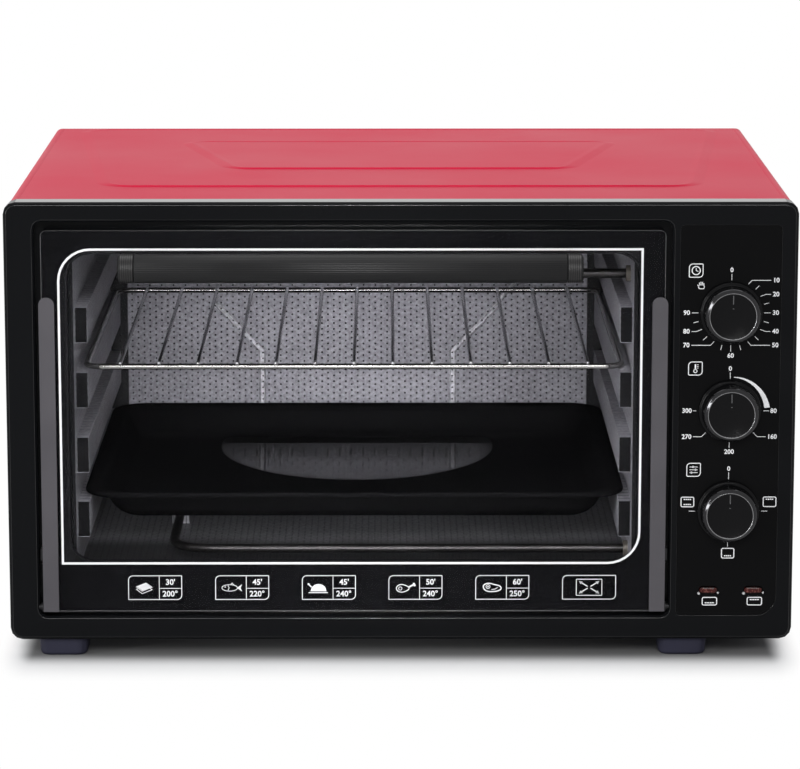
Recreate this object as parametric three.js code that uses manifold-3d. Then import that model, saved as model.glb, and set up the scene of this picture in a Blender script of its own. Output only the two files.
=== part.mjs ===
// A counter-top mini oven: a sheet steel body with a moulded front, a lined cavity with two
// rod heaters, a drop-down glass door, three turning controls, a wire rack and a baking tray.
// Millimetres, +Z up, and the front faces -Y. Depths are counted back from the front face, and
// heights up from the underside of the body, until the last lines move the whole oven so that
// its origin lies on the table under the middle of its outer box.

import * as THREE from 'three';
import { mergeVertices } from 'three/addons/utils/BufferGeometryUtils.js';
import Module from 'manifold-3d';

const wasm = await Module();
wasm.setup();

// Body
const bodyWidth = 520;
const bodyHeight = 294;
const bodyDepth = 400;
const sheet = 1;
const gap = 0.3;
const overrun = 2;

// Feet
const footHeight = 12.5;
const footWidth = 33;
const footTaper = 1.6;
const footCorner = 7;
const footEdge = 1.5;
const footInset = 6;
const rearFootInset = 22;
const leftFootInset = 34.5;
const rightFootInset = 72;

// Moulded front
const bezelDepth = 16;
const bezelCorner = 8;
const bezelEdge = 2;
const bezelWall = 4;
const leftBand = 19.85;
const controlBand = 82.35;
const topBand = 13;
const recessBottom = 16;
const recessDepth = 12;
const recessCorner = 5;
const recessLip = 1.4;

// Cover
const coverInset = 1.5;
const coverDrop = 2;
const coverCorner = 5;
const coverFlange = 12;
const coverFlangeInset = 24;
const embossStep = 0.9;
const outerEmbossFront = 76;
const outerEmbossRear = 28;
const outerEmbossFrontSide = 60;
const outerEmbossBackSide = 20;
const outerEmbossCorner = 22;
const innerEmbossFront = 162;
const innerEmbossRear = 98;
const innerEmbossFrontSide = 142;
const innerEmbossBackSide = 103;
const innerEmbossCorner = 16;
const ventLength = 26;
const ventHeight = 3;
const ventPitch = 9;
const ventColumnPitch = 34;
const ventRows = 7;
const ventColumns = 2;
const sideVentFront = 190;
const sideVentBottom = 150;

// Rear panel
const rearFlange = 10;
const rearVentRows = 5;
const rearVentColumns = 4;
const rearVentBottom = 190;
const rearCornerInset = 14;
const rearScrewRadius = 1.8;
const rearScrewHead = 3.8;
const rearScrewHeadHeight = 2.2;
const rearScrewLength = 8;

// Cable gland
const glandSide = 55;
const glandHeight = 34;
const glandRadius = 9;
const glandFlange = 12;
const glandFlangeDepth = 3;
const glandNose = 9;
const glandNoseRadius = 8;
const glandBore = 4;
const glandTail = 7;

// Cavity liner
const cavitySideMargin = 23.9;
const cavityTopMargin = 34.5;
const cavityBottom = 39.5;
const cavityRearMargin = 35;
const mouthMargin = 2;
const ribCount = 4;
const ribPitch = 44;
const ribHeight = 24;
const ribDepth = 8;
const ribInset = 13;
const lowestRibRise = 48;
const beadRadius = 3.5;
const beadDepth = 1.6;
const beadTopSide = 79;
const beadKneeSide = 113.4;
const beadTopDrop = 94.5;
const beadKneeDrop = 130.5;

// Heaters
const heaterRadius = 3.25;
const heaterFront = 60;
const heaterRear = 75;
const heaterSide = 61;
const heaterBend = 30;
const heaterTail = 9.5;
const bottomHeaterRise = 9;
const topHeaterDrop = 22;
const clipWidth = 12;
const clipThickness = 1.6;
const clipRim = 2.5;

// Ceramic insulators
const insulatorRadius = 5.5;
const insulatorFlange = 8;
const insulatorFlangeDepth = 2.6;
const insulatorNose = 3;

// Thermostat sensor
const capillaryRadius = 0.8;
const bulbRadius = 2.5;
const bulbLength = 80;
const sensorDrop = 33.5;
const sensorRear = 130;
const sensorStandoff = 7;
const sensorBend = 6;

// Heat shield
const shieldOffset = 12;
const shieldDrop = 32;
const shieldFlange = 14;

// Control column
const controlSide = 43.5;
const timerDrop = 73.3;
const thermostatPitch = 65.5;
const functionPitch = 67.7;
const plateLeftSide = 76.9;
const plateRightSide = 11.1;
const plateTopMargin = 15.5;
const plateBottom = 16.6;
const plateThickness = 1.2;
const plateCorner = 2.5;
const plateRoundCorner = 13;
const pocketMargin = 7;

// Shafts and control bodies
const shaftRadius = 3;
const shaftFlat = 1.1;
const shaftRelief = 0.9;
const shaftSeat = 11;
const shaftHole = 4.2;
const collarRadius = 5;
const collarReach = 8;
const timerWidth = 52;
const timerTall = 46;
const timerDepth = 32;
const thermostatWidth = 40;
const thermostatTall = 36;
const thermostatDepth = 27;
const switchRadius = 22;
const switchDepth = 30;
const switchSides = 8;
const lugWidth = 5;
const lugReach = 8;
const lugThickness = 0.8;
const lugPitch = 9;

// Timer bell
const bellRadius = 17;
const bellDepth = 8;
const bellWall = 1.2;
const bellPostRadius = 2;
const bellPostReach = 8;

// Knobs
const knobDepth = 16;
const knobFaceRadius = 16.4;
const knobBodyRadius = 17.6;
const knobSkirtRadius = 20.6;
const knobSkirtDepth = 2.6;
const knobWall = 2.6;
const knobHub = 6;
const knobEdge = 1.2;
const knobStandoff = 0.8;
const pointerWidth = 1.2;
const pointerLength = 8;
const pointerRise = 0.5;

// Indicator lamps
const lampWidth = 12;
const lampHeight = 5;
const lampProud = 1.5;
const lampDepth = 24;
const lampFlange = 1.5;
const lampRise = 33.7;
const leftLampSide = 55.9;
const rightLampSide = 26;

// Terminal block
const terminalWidth = 40;
const terminalDepth = 22;
const terminalHeight = 16;
const terminalInset = 34;
const terminalWells = 3;
const terminalWell = 7;

// Door
const doorSideGap = 4.4;
const doorTopGap = 5.6;
const doorBottomGap = 3.2;
const glassThickness = 4;
const glassCorner = 4;
const frameDepth = 5.2;
const frameWall = 1.2;
const frameInset = 0.3;
const frameRise = 5.3;
const windowSide = 16.5;
const windowRise = 33.8;
const windowDrop = 15.9;
const windowCorner = 16;
const trimWidth = 10.3;
const trimSheet = 1.5;
const trimFace = 1.2;
const trimDrop = 44.5;
const trimBackFlange = 6;
const trimRise = 0.3;

// Hinge
const hingeRise = 2.8;
const hingeDepth = 3;
const pinRadius = 2;
const pinReach = 4.5;
const pinCollar = 3.2;
const pinClearance = 0.4;
const armRadius = 36;
const armHalfWidth = 4;
const armThickness = 1.2;
const armFrontAngle = 93;
const armTailAngle = -22;
const armHole = 1.7;
const armSlotClearance = 0.6;

// Door springs
const springWire = 0.6;
const springRadius = 3.2;
const springTurns = 10;
const springOffset = 2.6;
const springLead = 12;
const anchorDepth = 150;
const anchorHeight = 11;
const anchorWidth = 10;
const anchorRim = 4;

// Handle
const handleSide = 54.1;
const handleRadius = 9.4;
const handleBore = 7.4;
const handleStandoff = 26;
const handleDrop = 20.9;
const handleShift = 1.45;
const handleCap = 10;
const handleSpigot = 12;
const handleArmHeight = 12;
const handleArmWidth = 9;
const handleScrewRadius = 2;
const handleScrewHead = 4.5;
const handleScrewHeadHeight = 2.5;
const handleScrewReach = 12;
const glassHole = 3;

// Wire rack
const rackMargin = 4;
const rackRod = 2;
const rackWire = 1.3;
const rackFront = 38;
const rackRear = 15;
const rackCorner = 12;
const rackPitch = 26;

// Baking tray
const trayMargin = 3;
const trayFront = 38;
const trayRear = 13;
const trayRim = 8;
const trayRimHeight = 4;
const trayDepth = 21.5;
const traySlope = 17;
const trayWall = 1;
const trayCorner = 26;
const trayFloorCurve = 12;

// Smoothness of the round forms
const roundSides = 24;
const hiddenSides = 16;
const smallSides = 12;
const rodSides = 8;
const wireSides = 6;
const cornerSteps = 3;
const bendSteps = 3;

// Heights and widths that several pieces share
const bodyBottom = footHeight;
const above = (height) => bodyBottom + height;
const leftFootX = -bodyWidth / 2 + leftFootInset;
const rightFootX = bodyWidth / 2 - rightFootInset;
const recessWidth = bodyWidth - leftBand - controlBand;
const recessHeight = bodyHeight - recessBottom - topBand;
const doorCentreX = (leftBand - controlBand) / 2;
const cavityWidth = recessWidth - 2 * cavitySideMargin;
const cavityHeight = bodyHeight - cavityBottom - cavityTopMargin;
const cavityTop = cavityBottom + cavityHeight;
const cavityBack = bodyDepth - cavityRearMargin;
const lowestRibTop = cavityBottom + lowestRibRise;
const heaterBack = cavityBack - heaterRear;
const heaterReach = cavityWidth / 2 - heaterSide;
const bottomHeaterHeight = cavityBottom + bottomHeaterRise;
const topHeaterHeight = cavityTop - topHeaterDrop;
const sensorHeight = cavityTop - sensorDrop;
const sensorDepth = cavityBack - sensorRear;
const shieldHeight = bodyHeight - shieldDrop;
const controlX = bodyWidth / 2 - controlSide;
const shaftFront = knobDepth - knobWall - shaftRelief;
const timerHeight = bodyHeight - timerDrop;
const thermostatHeight = timerHeight - thermostatPitch;
const functionHeight = thermostatHeight - functionPitch;
const plateLeft = bodyWidth / 2 - plateLeftSide;
const plateRight = bodyWidth / 2 - plateRightSide;
const plateTop = bodyHeight - plateTopMargin;
const glassWidth = recessWidth - 2 * doorSideGap;
const glassBottom = recessBottom + doorBottomGap;
const glassHeight = recessHeight - doorBottomGap - doorTopGap;
const glassTop = glassBottom + glassHeight;
const frameBottom = glassBottom + frameRise;
const windowWidth = glassWidth - 2 * windowSide;
const windowBottom = glassBottom + windowRise;
const windowTop = glassTop - windowDrop;
const trimHeight = glassHeight - trimDrop;
const hingeHeight = glassBottom + hingeRise;
const handleHeight = glassTop - handleDrop;
const handleLength = glassWidth - 2 * handleSide;
const handleCentreX = doorCentreX - handleShift;
const rackBack = cavityBack - rackRear;
const trayBack = cavityBack - trayRear;
const bodyTop = above(bodyHeight);
const coverTop = bodyTop - coverDrop;
const coverHalf = bodyWidth / 2 - coverInset;
const innerHalf = coverHalf - sheet - gap;
const innerTop = coverTop - sheet - gap;
const frameFront = bezelDepth + gap;
const frameBack = frameFront + sheet;
const linerFront = frameBack + gap;
const cavityHalf = cavityWidth / 2;
const cavityLeft = doorCentreX - cavityHalf;
const cavityRight = doorCentreX + cavityHalf;
const cavityFloor = above(cavityBottom);
const cavityCeiling = cavityFloor + cavityHeight;
const glassHalf = glassWidth / 2;
const trimOuter = glassHalf + gap + trimSheet;
const armInner = trimOuter + gap;
const armOuter = armInner + armThickness;
const hingeZ = above(hingeHeight);
const lampXs = [bodyWidth / 2 - leftLampSide, bodyWidth / 2 - rightLampSide];
const glandX = bodyWidth / 2 - glandSide;
const controls = [
  { name: 'timer', height: timerHeight },
  { name: 'thermostat', height: thermostatHeight },
  { name: 'function', height: functionHeight },
];

// Materials
function metal(color, roughness) {
  return new THREE.MeshStandardMaterial({ color, roughness, metalness: 0.9, flatShading: true });
}

function plain(color, roughness) {
  return new THREE.MeshStandardMaterial({ color, roughness, metalness: 0, flatShading: true });
}

const redPaint = plain(0xc81f33, 0.38);
const blackGloss = plain(0x0b0b0d, 0.15);
const blackMatt = plain(0x1c1c1e, 0.6);
const darkSheet = metal(0x2a2a2c, 0.5);
const greyTrim = metal(0x58555a, 0.45);
const zincSheet = metal(0x9b9ba0, 0.45);
const linerSheet = metal(0x77757b, 0.5);
const chromeWire = metal(0xd8d8dc, 0.15);
const steel = metal(0xb0b0b4, 0.3);
const heaterSteel = metal(0x6a6660, 0.4);
const ceramic = plain(0xe8e2d2, 0.7);
const enamel = plain(0x0d0d0f, 0.2);
const rubber = plain(0x2c2c3a, 0.8);
const brass = metal(0xb8924a, 0.35);
const lampRed = plain(0xb02414, 0.3);
const phenolic = plain(0x3a2a22, 0.7);
const smokedGlass = new THREE.MeshStandardMaterial({
  color: 0x101214, roughness: 0.05, transparent: true, opacity: 0.35, flatShading: true,
});

// Closes a geometry: shared corners are merged, flat triangles dropped and faces turned outwards.
function closed(geometry) {
  const bare = geometry.clone();
  bare.deleteAttribute('normal');
  bare.deleteAttribute('uv');
  const merged = mergeVertices(bare);
  const from = Array.from(merged.index.array);
  const corner = (n) => new THREE.Vector3().fromBufferAttribute(merged.attributes.position, n);
  const kept = [];
  let volume = 0;
  for (let n = 0; n < from.length; n += 3) {
    const [a, b, c] = from.slice(n, n + 3);
    if (a !== b && b !== c && c !== a) {
      kept.push([a, b, c]);
      volume += corner(a).dot(corner(b).cross(corner(c)));
    }
  }
  merged.setIndex(kept.flatMap(([a, b, c]) => (volume < 0 ? [a, c, b] : [a, b, c])));
  return merged;
}

function toManifold(geometry) {
  const shape = closed(geometry);
  const mesh = new wasm.Mesh({
    numProp: 3,
    vertProperties: new Float32Array(shape.attributes.position.array),
    triVerts: new Uint32Array(shape.index.array),
  });
  return new wasm.Manifold(mesh);
}

function fromManifold(manifold) {
  const mesh = manifold.getMesh();
  const geometry = new THREE.BufferGeometry();
  geometry.setAttribute('position', new THREE.BufferAttribute(mesh.vertProperties, 3));
  geometry.setIndex(new THREE.BufferAttribute(mesh.triVerts, 1));
  return geometry;
}

function join(...geometries) {
  return fromManifold(geometries.map(toManifold).reduce((whole, piece) => whole.add(piece)));
}

function cut(geometry, ...tools) {
  const start = toManifold(geometry);
  return fromManifold(tools.map(toManifold).reduce((rest, tool) => rest.subtract(tool), start));
}

// A block between six faces.
function slab(left, right, front, back, bottom, top) {
  const block = new THREE.BoxGeometry(right - left, back - front, top - bottom);
  return block.translate((left + right) / 2, (front + back) / 2, (bottom + top) / 2);
}

// A round-cornered outline; the radii run from the lower left corner anticlockwise.
function roundShape(left, right, bottom, top, lowLeft, lowRight = lowLeft, highRight = lowLeft, highLeft = lowLeft) {
  const shape = new THREE.Shape();
  shape.moveTo(left + lowLeft, bottom);
  shape.absarc(right - lowRight, bottom + lowRight, lowRight, -Math.PI / 2, 0, false);
  shape.absarc(right - highRight, top - highRight, highRight, 0, Math.PI / 2, false);
  shape.absarc(left + highLeft, top - highLeft, highLeft, Math.PI / 2, Math.PI, false);
  shape.absarc(left + lowLeft, bottom + lowLeft, lowLeft, Math.PI, 1.5 * Math.PI, false);
  return shape;
}

function circle(x, y, radius, sides = smallSides) {
  const points = [];
  for (let n = 0; n < sides; n += 1) {
    const angle = n / sides * 2 * Math.PI;
    points.push(new THREE.Vector2(x + radius * Math.cos(angle), y + radius * Math.sin(angle)));
  }
  return new THREE.Path(points);
}

// An outline in width and height, thickened from front to back.
function standing(shape, front, back, steps = cornerSteps) {
  const options = { depth: back - front, bevelEnabled: false, curveSegments: steps };
  return new THREE.ExtrudeGeometry(shape, options).rotateX(Math.PI / 2).translate(0, back, 0);
}

// An outline in width and depth, thickened from bottom to top.
function lying(shape, bottom, top, steps = cornerSteps) {
  const options = { depth: top - bottom, bevelEnabled: false, curveSegments: steps };
  return new THREE.ExtrudeGeometry(shape, options).translate(0, 0, bottom);
}

// An outline in depth and height, thickened from left to right.
function sideways(shape, left, right, steps = cornerSteps) {
  const options = { depth: right - left, bevelEnabled: false, curveSegments: steps };
  const turn = new THREE.Matrix4().makeBasis(
    new THREE.Vector3(0, 1, 0),
    new THREE.Vector3(0, 0, 1),
    new THREE.Vector3(1, 0, 0),
  );
  return new THREE.ExtrudeGeometry(shape, options).applyMatrix4(turn).translate(left, 0, 0);
}

// A turned piece from radius and place pairs, with its axis along the depth at x and z.
function turned(profile, x, z, sides = roundSides) {
  const points = profile.map(([radius, place]) => new THREE.Vector2(radius, place));
  return new THREE.LatheGeometry(points, sides).translate(x, 0, z);
}

// The same with its axis along the width, at a depth and a height.
function turnedAcross(profile, y, z, sides = roundSides) {
  const points = profile.map(([radius, place]) => new THREE.Vector2(radius, place));
  return new THREE.LatheGeometry(points, sides).rotateZ(-Math.PI / 2).translate(0, y, z);
}

function rodAlongDepth(radius, front, back, x, z, sides = smallSides) {
  return turned([[0, front], [radius, front], [radius, back], [0, back]], x, z, sides);
}

function rodAcross(radius, left, right, y, z, sides = smallSides) {
  return turnedAcross([[0, left], [radius, left], [radius, right], [0, right]], y, z, sides);
}

// Skins a chain of rings with the same number of points and closes both ends.
function loft(rings, looped = false) {
  const count = rings[0].length;
  const points = rings.flat().flatMap((point) => [point.x, point.y, point.z]);
  const index = [];
  const spans = looped ? rings.length : rings.length - 1;
  for (let ring = 0; ring < spans; ring += 1) {
    const next = (ring + 1) % rings.length;
    for (let n = 0; n < count; n += 1) {
      const m = (n + 1) % count;
      const [a, b, c, d] = [ring * count + n, ring * count + m, next * count + m, next * count + n];
      index.push(a, b, c, a, c, d);
    }
  }
  const last = (rings.length - 1) * count;
  for (let n = 1; n < count - 1 && !looped; n += 1) {
    index.push(0, n + 1, n, last, last + n, last + n + 1);
  }
  const geometry = new THREE.BufferGeometry();
  geometry.setAttribute('position', new THREE.Float32BufferAttribute(points, 3));
  geometry.setIndex(index);
  return geometry;
}

// The points of a round-cornered rectangle about the origin.
function roundOutline(width, height, radius, steps = cornerSteps) {
  const points = [];
  const centres = [[1, 1], [-1, 1], [-1, -1], [1, -1]];
  centres.forEach(([across, up], quarter) => {
    for (let step = 0; step <= steps; step += 1) {
      const angle = (quarter + step / steps) * Math.PI / 2;
      const x = across * (width / 2 - radius) + radius * Math.cos(angle);
      const y = up * (height / 2 - radius) + radius * Math.sin(angle);
      points.push(new THREE.Vector2(x, y));
    }
  });
  return points;
}

// A ring that stands in width and height at one depth.
function standingRing(x, z, y, width, height, radius) {
  return roundOutline(width, height, radius).map((p) => new THREE.Vector3(x + p.x, y, z + p.y));
}

// A ring that lies in width and depth at one height.
function lyingRing(x, y, z, width, depth, radius) {
  return roundOutline(width, depth, radius).map((p) => new THREE.Vector3(x + p.x, y + p.y, z));
}

// Rounds the corners of a path of straight stretches.
function roundedPath(corners, radius, steps = bendSteps) {
  const points = [corners[0]];
  for (let n = 1; n < corners.length - 1; n += 1) {
    const before = corners[n - 1].clone().sub(corners[n]).setLength(radius).add(corners[n]);
    const after = corners[n + 1].clone().sub(corners[n]).setLength(radius).add(corners[n]);
    const bend = new THREE.QuadraticBezierCurve3(before, corners[n], after);
    points.push(...bend.getPoints(steps));
  }
  points.push(corners[corners.length - 1]);
  return points;
}

// A round rod or wire along a chain of points.
function sweep(path, radius, sides = rodSides, looped = false) {
  const rings = [];
  let normal = null;
  const count = path.length;
  for (let n = 0; n < count; n += 1) {
    const before = looped ? path[(n + count - 1) % count] : path[Math.max(n - 1, 0)];
    const after = looped ? path[(n + 1) % count] : path[Math.min(n + 1, count - 1)];
    const along = after.clone().sub(before).normalize();
    if (!normal) {
      const helper = Math.abs(along.z) < Math.SQRT1_2 ? new THREE.Vector3(0, 0, 1) : new THREE.Vector3(1, 0, 0);
      normal = helper;
    }
    normal = normal.clone().addScaledVector(along, -normal.dot(along)).normalize();
    const across = along.clone().cross(normal);
    const ring = [];
    for (let side = 0; side < sides; side += 1) {
      const angle = (side + 0.5) / sides * 2 * Math.PI;
      const point = path[n].clone().addScaledVector(normal, radius * Math.cos(angle));
      ring.push(point.addScaledVector(across, radius * Math.sin(angle)));
    }
    rings.push(ring);
  }
  return loft(rings, looped);
}

const oven = new THREE.Group();

function addPiece(name, geometry, material) {
  const shape = closed(geometry).toNonIndexed();
  shape.computeVertexNormals();
  const mesh = new THREE.Mesh(shape, material);
  mesh.name = name;
  oven.add(mesh);
}

// Feet: four moulded blocks under the base, with tapered sides and a softened lower edge.
function foot(x, y) {
  const bottom = footWidth - footTaper;
  const rings = [
    lyingRing(x, y, 0, bottom - 2 * footEdge, bottom - 2 * footEdge, footCorner - footEdge),
    lyingRing(x, y, footEdge, bottom, bottom, footCorner),
    lyingRing(x, y, footHeight - gap, footWidth, footWidth, footCorner),
  ];
  return loft(rings);
}

const frontFootY = footInset + footWidth / 2;
const rearFootY = bodyDepth - rearFootInset - footWidth / 2;
addPiece('foot_front_left', foot(leftFootX, frontFootY), rubber);
addPiece('foot_front_right', foot(rightFootX, frontFootY), rubber);
addPiece('foot_rear_left', foot(leftFootX, rearFootY), rubber);
addPiece('foot_rear_right', foot(rightFootX, rearFootY), rubber);

// Base plate: a flat steel bottom with two upright tabs that the door springs hook onto.
function armMiddle(side) {
  return doorCentreX + side * (armInner + armOuter) / 2;
}

function anchorTab(side) {
  const x = armMiddle(side);
  const top = above(anchorHeight + anchorRim);
  const tab = slab(x - sheet / 2, x + sheet / 2, anchorDepth - anchorWidth / 2,
    anchorDepth + anchorWidth / 2, above(sheet / 2), top);
  const hole = rodAcross(armHole, x - overrun, x + overrun, anchorDepth, above(anchorHeight));
  return cut(tab, hole);
}

const basePlate = slab(-innerHalf, innerHalf, frameFront, bodyDepth, above(0), above(sheet));
addPiece('base_plate', join(basePlate, anchorTab(-1), anchorTab(1)), zincSheet);

// Front frame: the steel sheet behind the moulded front that the liner and controls hang on.
const panelMiddle = (above(sheet + gap) + innerTop) / 2;

function innerOutline() {
  const corner = coverCorner - sheet - gap;
  return roundShape(-innerHalf, innerHalf, above(sheet + gap), innerTop, gap, gap, corner, corner);
}

const armSlotLow = Math.sqrt((armRadius - armHalfWidth) ** 2 - (frameBack - hingeDepth) ** 2);
const armSlotHigh = Math.sqrt((armRadius + armHalfWidth) ** 2 - (recessDepth - hingeDepth) ** 2);

function armSlot(side, front, back) {
  const near = doorCentreX + side * (armInner - armSlotClearance);
  const far = doorCentreX + side * (armOuter + armSlotClearance);
  const low = hingeZ + armSlotLow - 2 * armSlotClearance;
  const high = hingeZ + armSlotHigh + 2 * armSlotClearance;
  return slab(Math.min(near, far), Math.max(near, far), front, back, low, high);
}

function lampHole(x, clearance) {
  const halfWidth = lampWidth / 2 + clearance;
  const halfHeight = lampHeight / 2 + clearance;
  const z = above(lampRise);
  return roundShape(x - halfWidth, x + halfWidth, z - halfHeight, z + halfHeight, halfHeight);
}

const frontFrame = innerOutline();
frontFrame.holes.push(roundShape(cavityLeft, cavityRight, cavityFloor, cavityCeiling, gap));
for (const control of controls) {
  frontFrame.holes.push(circle(controlX, above(control.height), collarRadius + gap, roundSides));
}
for (const x of lampXs) {
  frontFrame.holes.push(lampHole(x, gap));
}
const frameSlots = [-1, 1].map((side) => armSlot(side, frameFront - overrun, frameBack + overrun));
addPiece('front_frame', cut(standing(frontFrame, frameFront, frameBack), ...frameSlots), zincSheet);

// Rear panel: a shallow pressed pan that closes the back, with vent slots and the cable hole.
const rearFront = bodyDepth - rearFlange;
const rearInner = bodyDepth - sheet;
const rearScrews = [];
for (const [side, sideName] of [[-1, 'left'], [1, 'right']]) {
  for (const [level, z] of [['lower', above(sheet + gap + rearCornerInset)], ['upper', innerTop - rearCornerInset]]) {
    rearScrews.push({ name: `rear_screw_${level}_${sideName}`, x: side * (innerHalf - rearCornerInset), z });
  }
}

function rearPanel() {
  const pan = standing(innerOutline(), rearFront, bodyDepth);
  const hollowWidth = 2 * (innerHalf - sheet);
  const hollowHeight = innerTop - above(sheet + gap) - 2 * sheet;
  const hollow = loft([
    standingRing(0, panelMiddle, rearFront - overrun, hollowWidth, hollowHeight, coverCorner - 2 * sheet - gap),
    standingRing(0, panelMiddle, rearInner, hollowWidth, hollowHeight, coverCorner - 2 * sheet - gap),
  ]);
  const tools = [hollow];
  for (let column = 0; column < rearVentColumns; column += 1) {
    for (let row = 0; row < rearVentRows; row += 1) {
      const x = (column - (rearVentColumns - 1) / 2) * ventColumnPitch;
      const z = above(rearVentBottom) + row * ventPitch;
      tools.push(slab(x - ventLength / 2, x + ventLength / 2, rearInner - overrun, bodyDepth + overrun, z, z + ventHeight));
    }
  }
  for (const { x, z } of rearScrews) {
    tools.push(rodAlongDepth(rearScrewRadius + gap, rearInner - overrun, bodyDepth + overrun, x, z));
  }
  const glandZ = above(glandHeight);
  tools.push(rodAlongDepth(glandRadius + gap, rearInner - overrun, bodyDepth + overrun, glandX, glandZ, hiddenSides));
  return cut(pan, ...tools);
}

addPiece('rear_panel', rearPanel(), zincSheet);

for (const { name, x, z } of rearScrews) {
  const headBack = bodyDepth + gap + rearScrewHeadHeight;
  const profile = [
    [0, rearInner - rearScrewLength],
    [rearScrewRadius, rearInner - rearScrewLength],
    [rearScrewRadius, bodyDepth + gap],
    [rearScrewHead, bodyDepth + gap],
    [rearScrewHead, headBack - rearScrewHeadHeight / 3],
    [rearScrewHead * 2 / 3, headBack],
    [0, headBack],
  ];
  addPiece(name, turned(profile, x, z, smallSides), steel);
}

// Cable gland: a moulded bush snapped into the rear panel, open from end to end.
const glandProfile = [
  [glandBore, rearInner - glandTail],
  [glandRadius, rearInner - glandTail],
  [glandRadius, bodyDepth + gap],
  [glandFlange, bodyDepth + gap],
  [glandFlange, bodyDepth + gap + glandFlangeDepth],
  [glandNoseRadius, bodyDepth + gap + glandFlangeDepth],
  [glandNoseRadius - gap, bodyDepth + gap + glandNose],
  [glandBore, bodyDepth + gap + glandNose],
  [glandBore, rearInner - glandTail],
];
addPiece('cable_gland', turned(glandProfile, glandX, above(glandHeight), hiddenSides), blackMatt);

// Outer cover: one red sheet over the top and sides, with two nested raised fields pressed
// into the top, vent slots beside the controls and a turned-in flange along each lower edge.
function embossShape(front, back, frontWidth, backWidth, corner) {
  const corners = [
    [-frontWidth / 2, front], [frontWidth / 2, front], [backWidth / 2, back], [-backWidth / 2, back],
  ].map(([x, y]) => new THREE.Vector2(x, y));
  const shape = new THREE.Shape();
  corners.forEach((corner2, n) => {
    const before = corners[(n + 3) % 4].clone().sub(corner2).setLength(corner).add(corner2);
    const after = corners[(n + 1) % 4].clone().sub(corner2).setLength(corner).add(corner2);
    if (n === 0) {
      shape.moveTo(before.x, before.y);
    } else {
      shape.lineTo(before.x, before.y);
    }
    shape.quadraticCurveTo(corner2.x, corner2.y, after.x, after.y);
  });
  shape.closePath();
  return shape;
}

function outerCover() {
  const outline = roundShape(-coverHalf, coverHalf, above(0), coverTop, gap, gap, coverCorner, coverCorner);
  const inside = roundShape(-coverHalf + sheet, coverHalf - sheet, above(-overrun), coverTop - sheet,
    gap, gap, coverCorner - sheet, coverCorner - sheet);
  const shell = cut(
    standing(outline, frameFront, bodyDepth),
    standing(inside, frameFront - overrun, bodyDepth + overrun),
  );
  const outer = [
    outerEmbossFront, bodyDepth - outerEmbossRear, bodyWidth - 2 * outerEmbossFrontSide,
    bodyWidth - 2 * outerEmbossBackSide, outerEmbossCorner,
  ];
  const inner = [
    innerEmbossFront, bodyDepth - innerEmbossRear, bodyWidth - 2 * innerEmbossFrontSide,
    bodyWidth - 2 * innerEmbossBackSide, innerEmbossCorner,
  ];
  const raised = join(
    shell,
    lying(embossShape(...outer), coverTop - sheet, coverTop + embossStep, 3),
    lying(embossShape(...inner), coverTop - sheet, coverTop + 2 * embossStep, 3),
  );
  const shrink = (values) => {
    const [front, back, frontWidth, backWidth, corner] = values;
    return [front + sheet, back - sheet, frontWidth - 2 * sheet, backWidth - 2 * sheet, corner - sheet];
  };
  const under = coverTop - sheet;
  const tools = [
    lying(embossShape(...shrink(outer)), under - overrun, under + embossStep, 3),
    lying(embossShape(...shrink(inner)), under - overrun, under + 2 * embossStep, 3),
  ];
  for (let column = 0; column < ventColumns; column += 1) {
    for (let row = 0; row < ventRows; row += 1) {
      const y = sideVentFront + column * ventColumnPitch;
      const z = above(sideVentBottom) + row * ventPitch;
      tools.push(slab(coverHalf - sheet - overrun, coverHalf + overrun, y, y + ventLength, z, z + ventHeight));
    }
  }
  const flangeFront = frameFront + coverFlangeInset;
  const flangeBack = bodyDepth - coverFlangeInset;
  const flanges = [-1, 1].map((side) => {
    const outside = side * (coverHalf - sheet / 2);
    const inward = side * (coverHalf - coverFlange);
    const [left, right] = [Math.min(outside, inward), Math.max(outside, inward)];
    return slab(left, right, flangeFront, flangeBack, above(sheet + gap), above(2 * sheet + gap));
  });
  return join(cut(raised, ...tools), ...flanges);
}

addPiece('outer_cover', outerCover(), redPaint);

// Cavity liner: floor, ceiling, back and two sides in speckled sheet. The sides carry four
// pressed shelf ribs each, and the back has two pressed beads that bend towards the middle.
function heaterClip(wallZ, rodHeight) {
  const x = doorCentreX - heaterReach;
  const y = (heaterFront + heaterBack) / 2;
  const rodZ = above(rodHeight);
  const tip = rodZ + Math.sign(rodZ - wallZ) * (heaterRadius + clipRim);
  const [low, high] = [Math.min(wallZ, tip), Math.max(wallZ, tip)];
  const plate = slab(x - clipWidth / 2, x + clipWidth / 2, y - clipThickness / 2, y + clipThickness / 2, low, high);
  return cut(plate, rodAlongDepth(heaterRadius + gap, y - overrun, y + overrun, x, rodZ));
}

const linerLeft = cavityLeft - sheet;
const linerRight = cavityRight + sheet;
const linerBack = cavityBack + sheet;
const floorPlate = slab(linerLeft, linerRight, linerFront, linerBack, cavityFloor - sheet, cavityFloor);
const floorClip = heaterClip(cavityFloor - sheet / 2, bottomHeaterHeight);
addPiece('cavity_floor', join(floorPlate, floorClip), linerSheet);

const ceilingPlate = slab(linerLeft, linerRight, linerFront, linerBack, cavityCeiling, cavityCeiling + sheet);
const ceilingClip = heaterClip(cavityCeiling + sheet / 2, topHeaterHeight);
addPiece('cavity_ceiling', join(ceilingPlate, ceilingClip), linerSheet);

const sideBottom = cavityFloor + gap;
const sideTop = cavityCeiling - gap;
const sideBack = cavityBack - gap;
const heaterEnds = [];
for (const [levelName, height] of [['bottom', bottomHeaterHeight], ['top', topHeaterHeight]]) {
  for (const [endName, depth] of [['front', heaterFront], ['back', heaterBack]]) {
    heaterEnds.push({ name: `${levelName}_insulator_${endName}`, y: depth, z: above(height) });
  }
}

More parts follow.
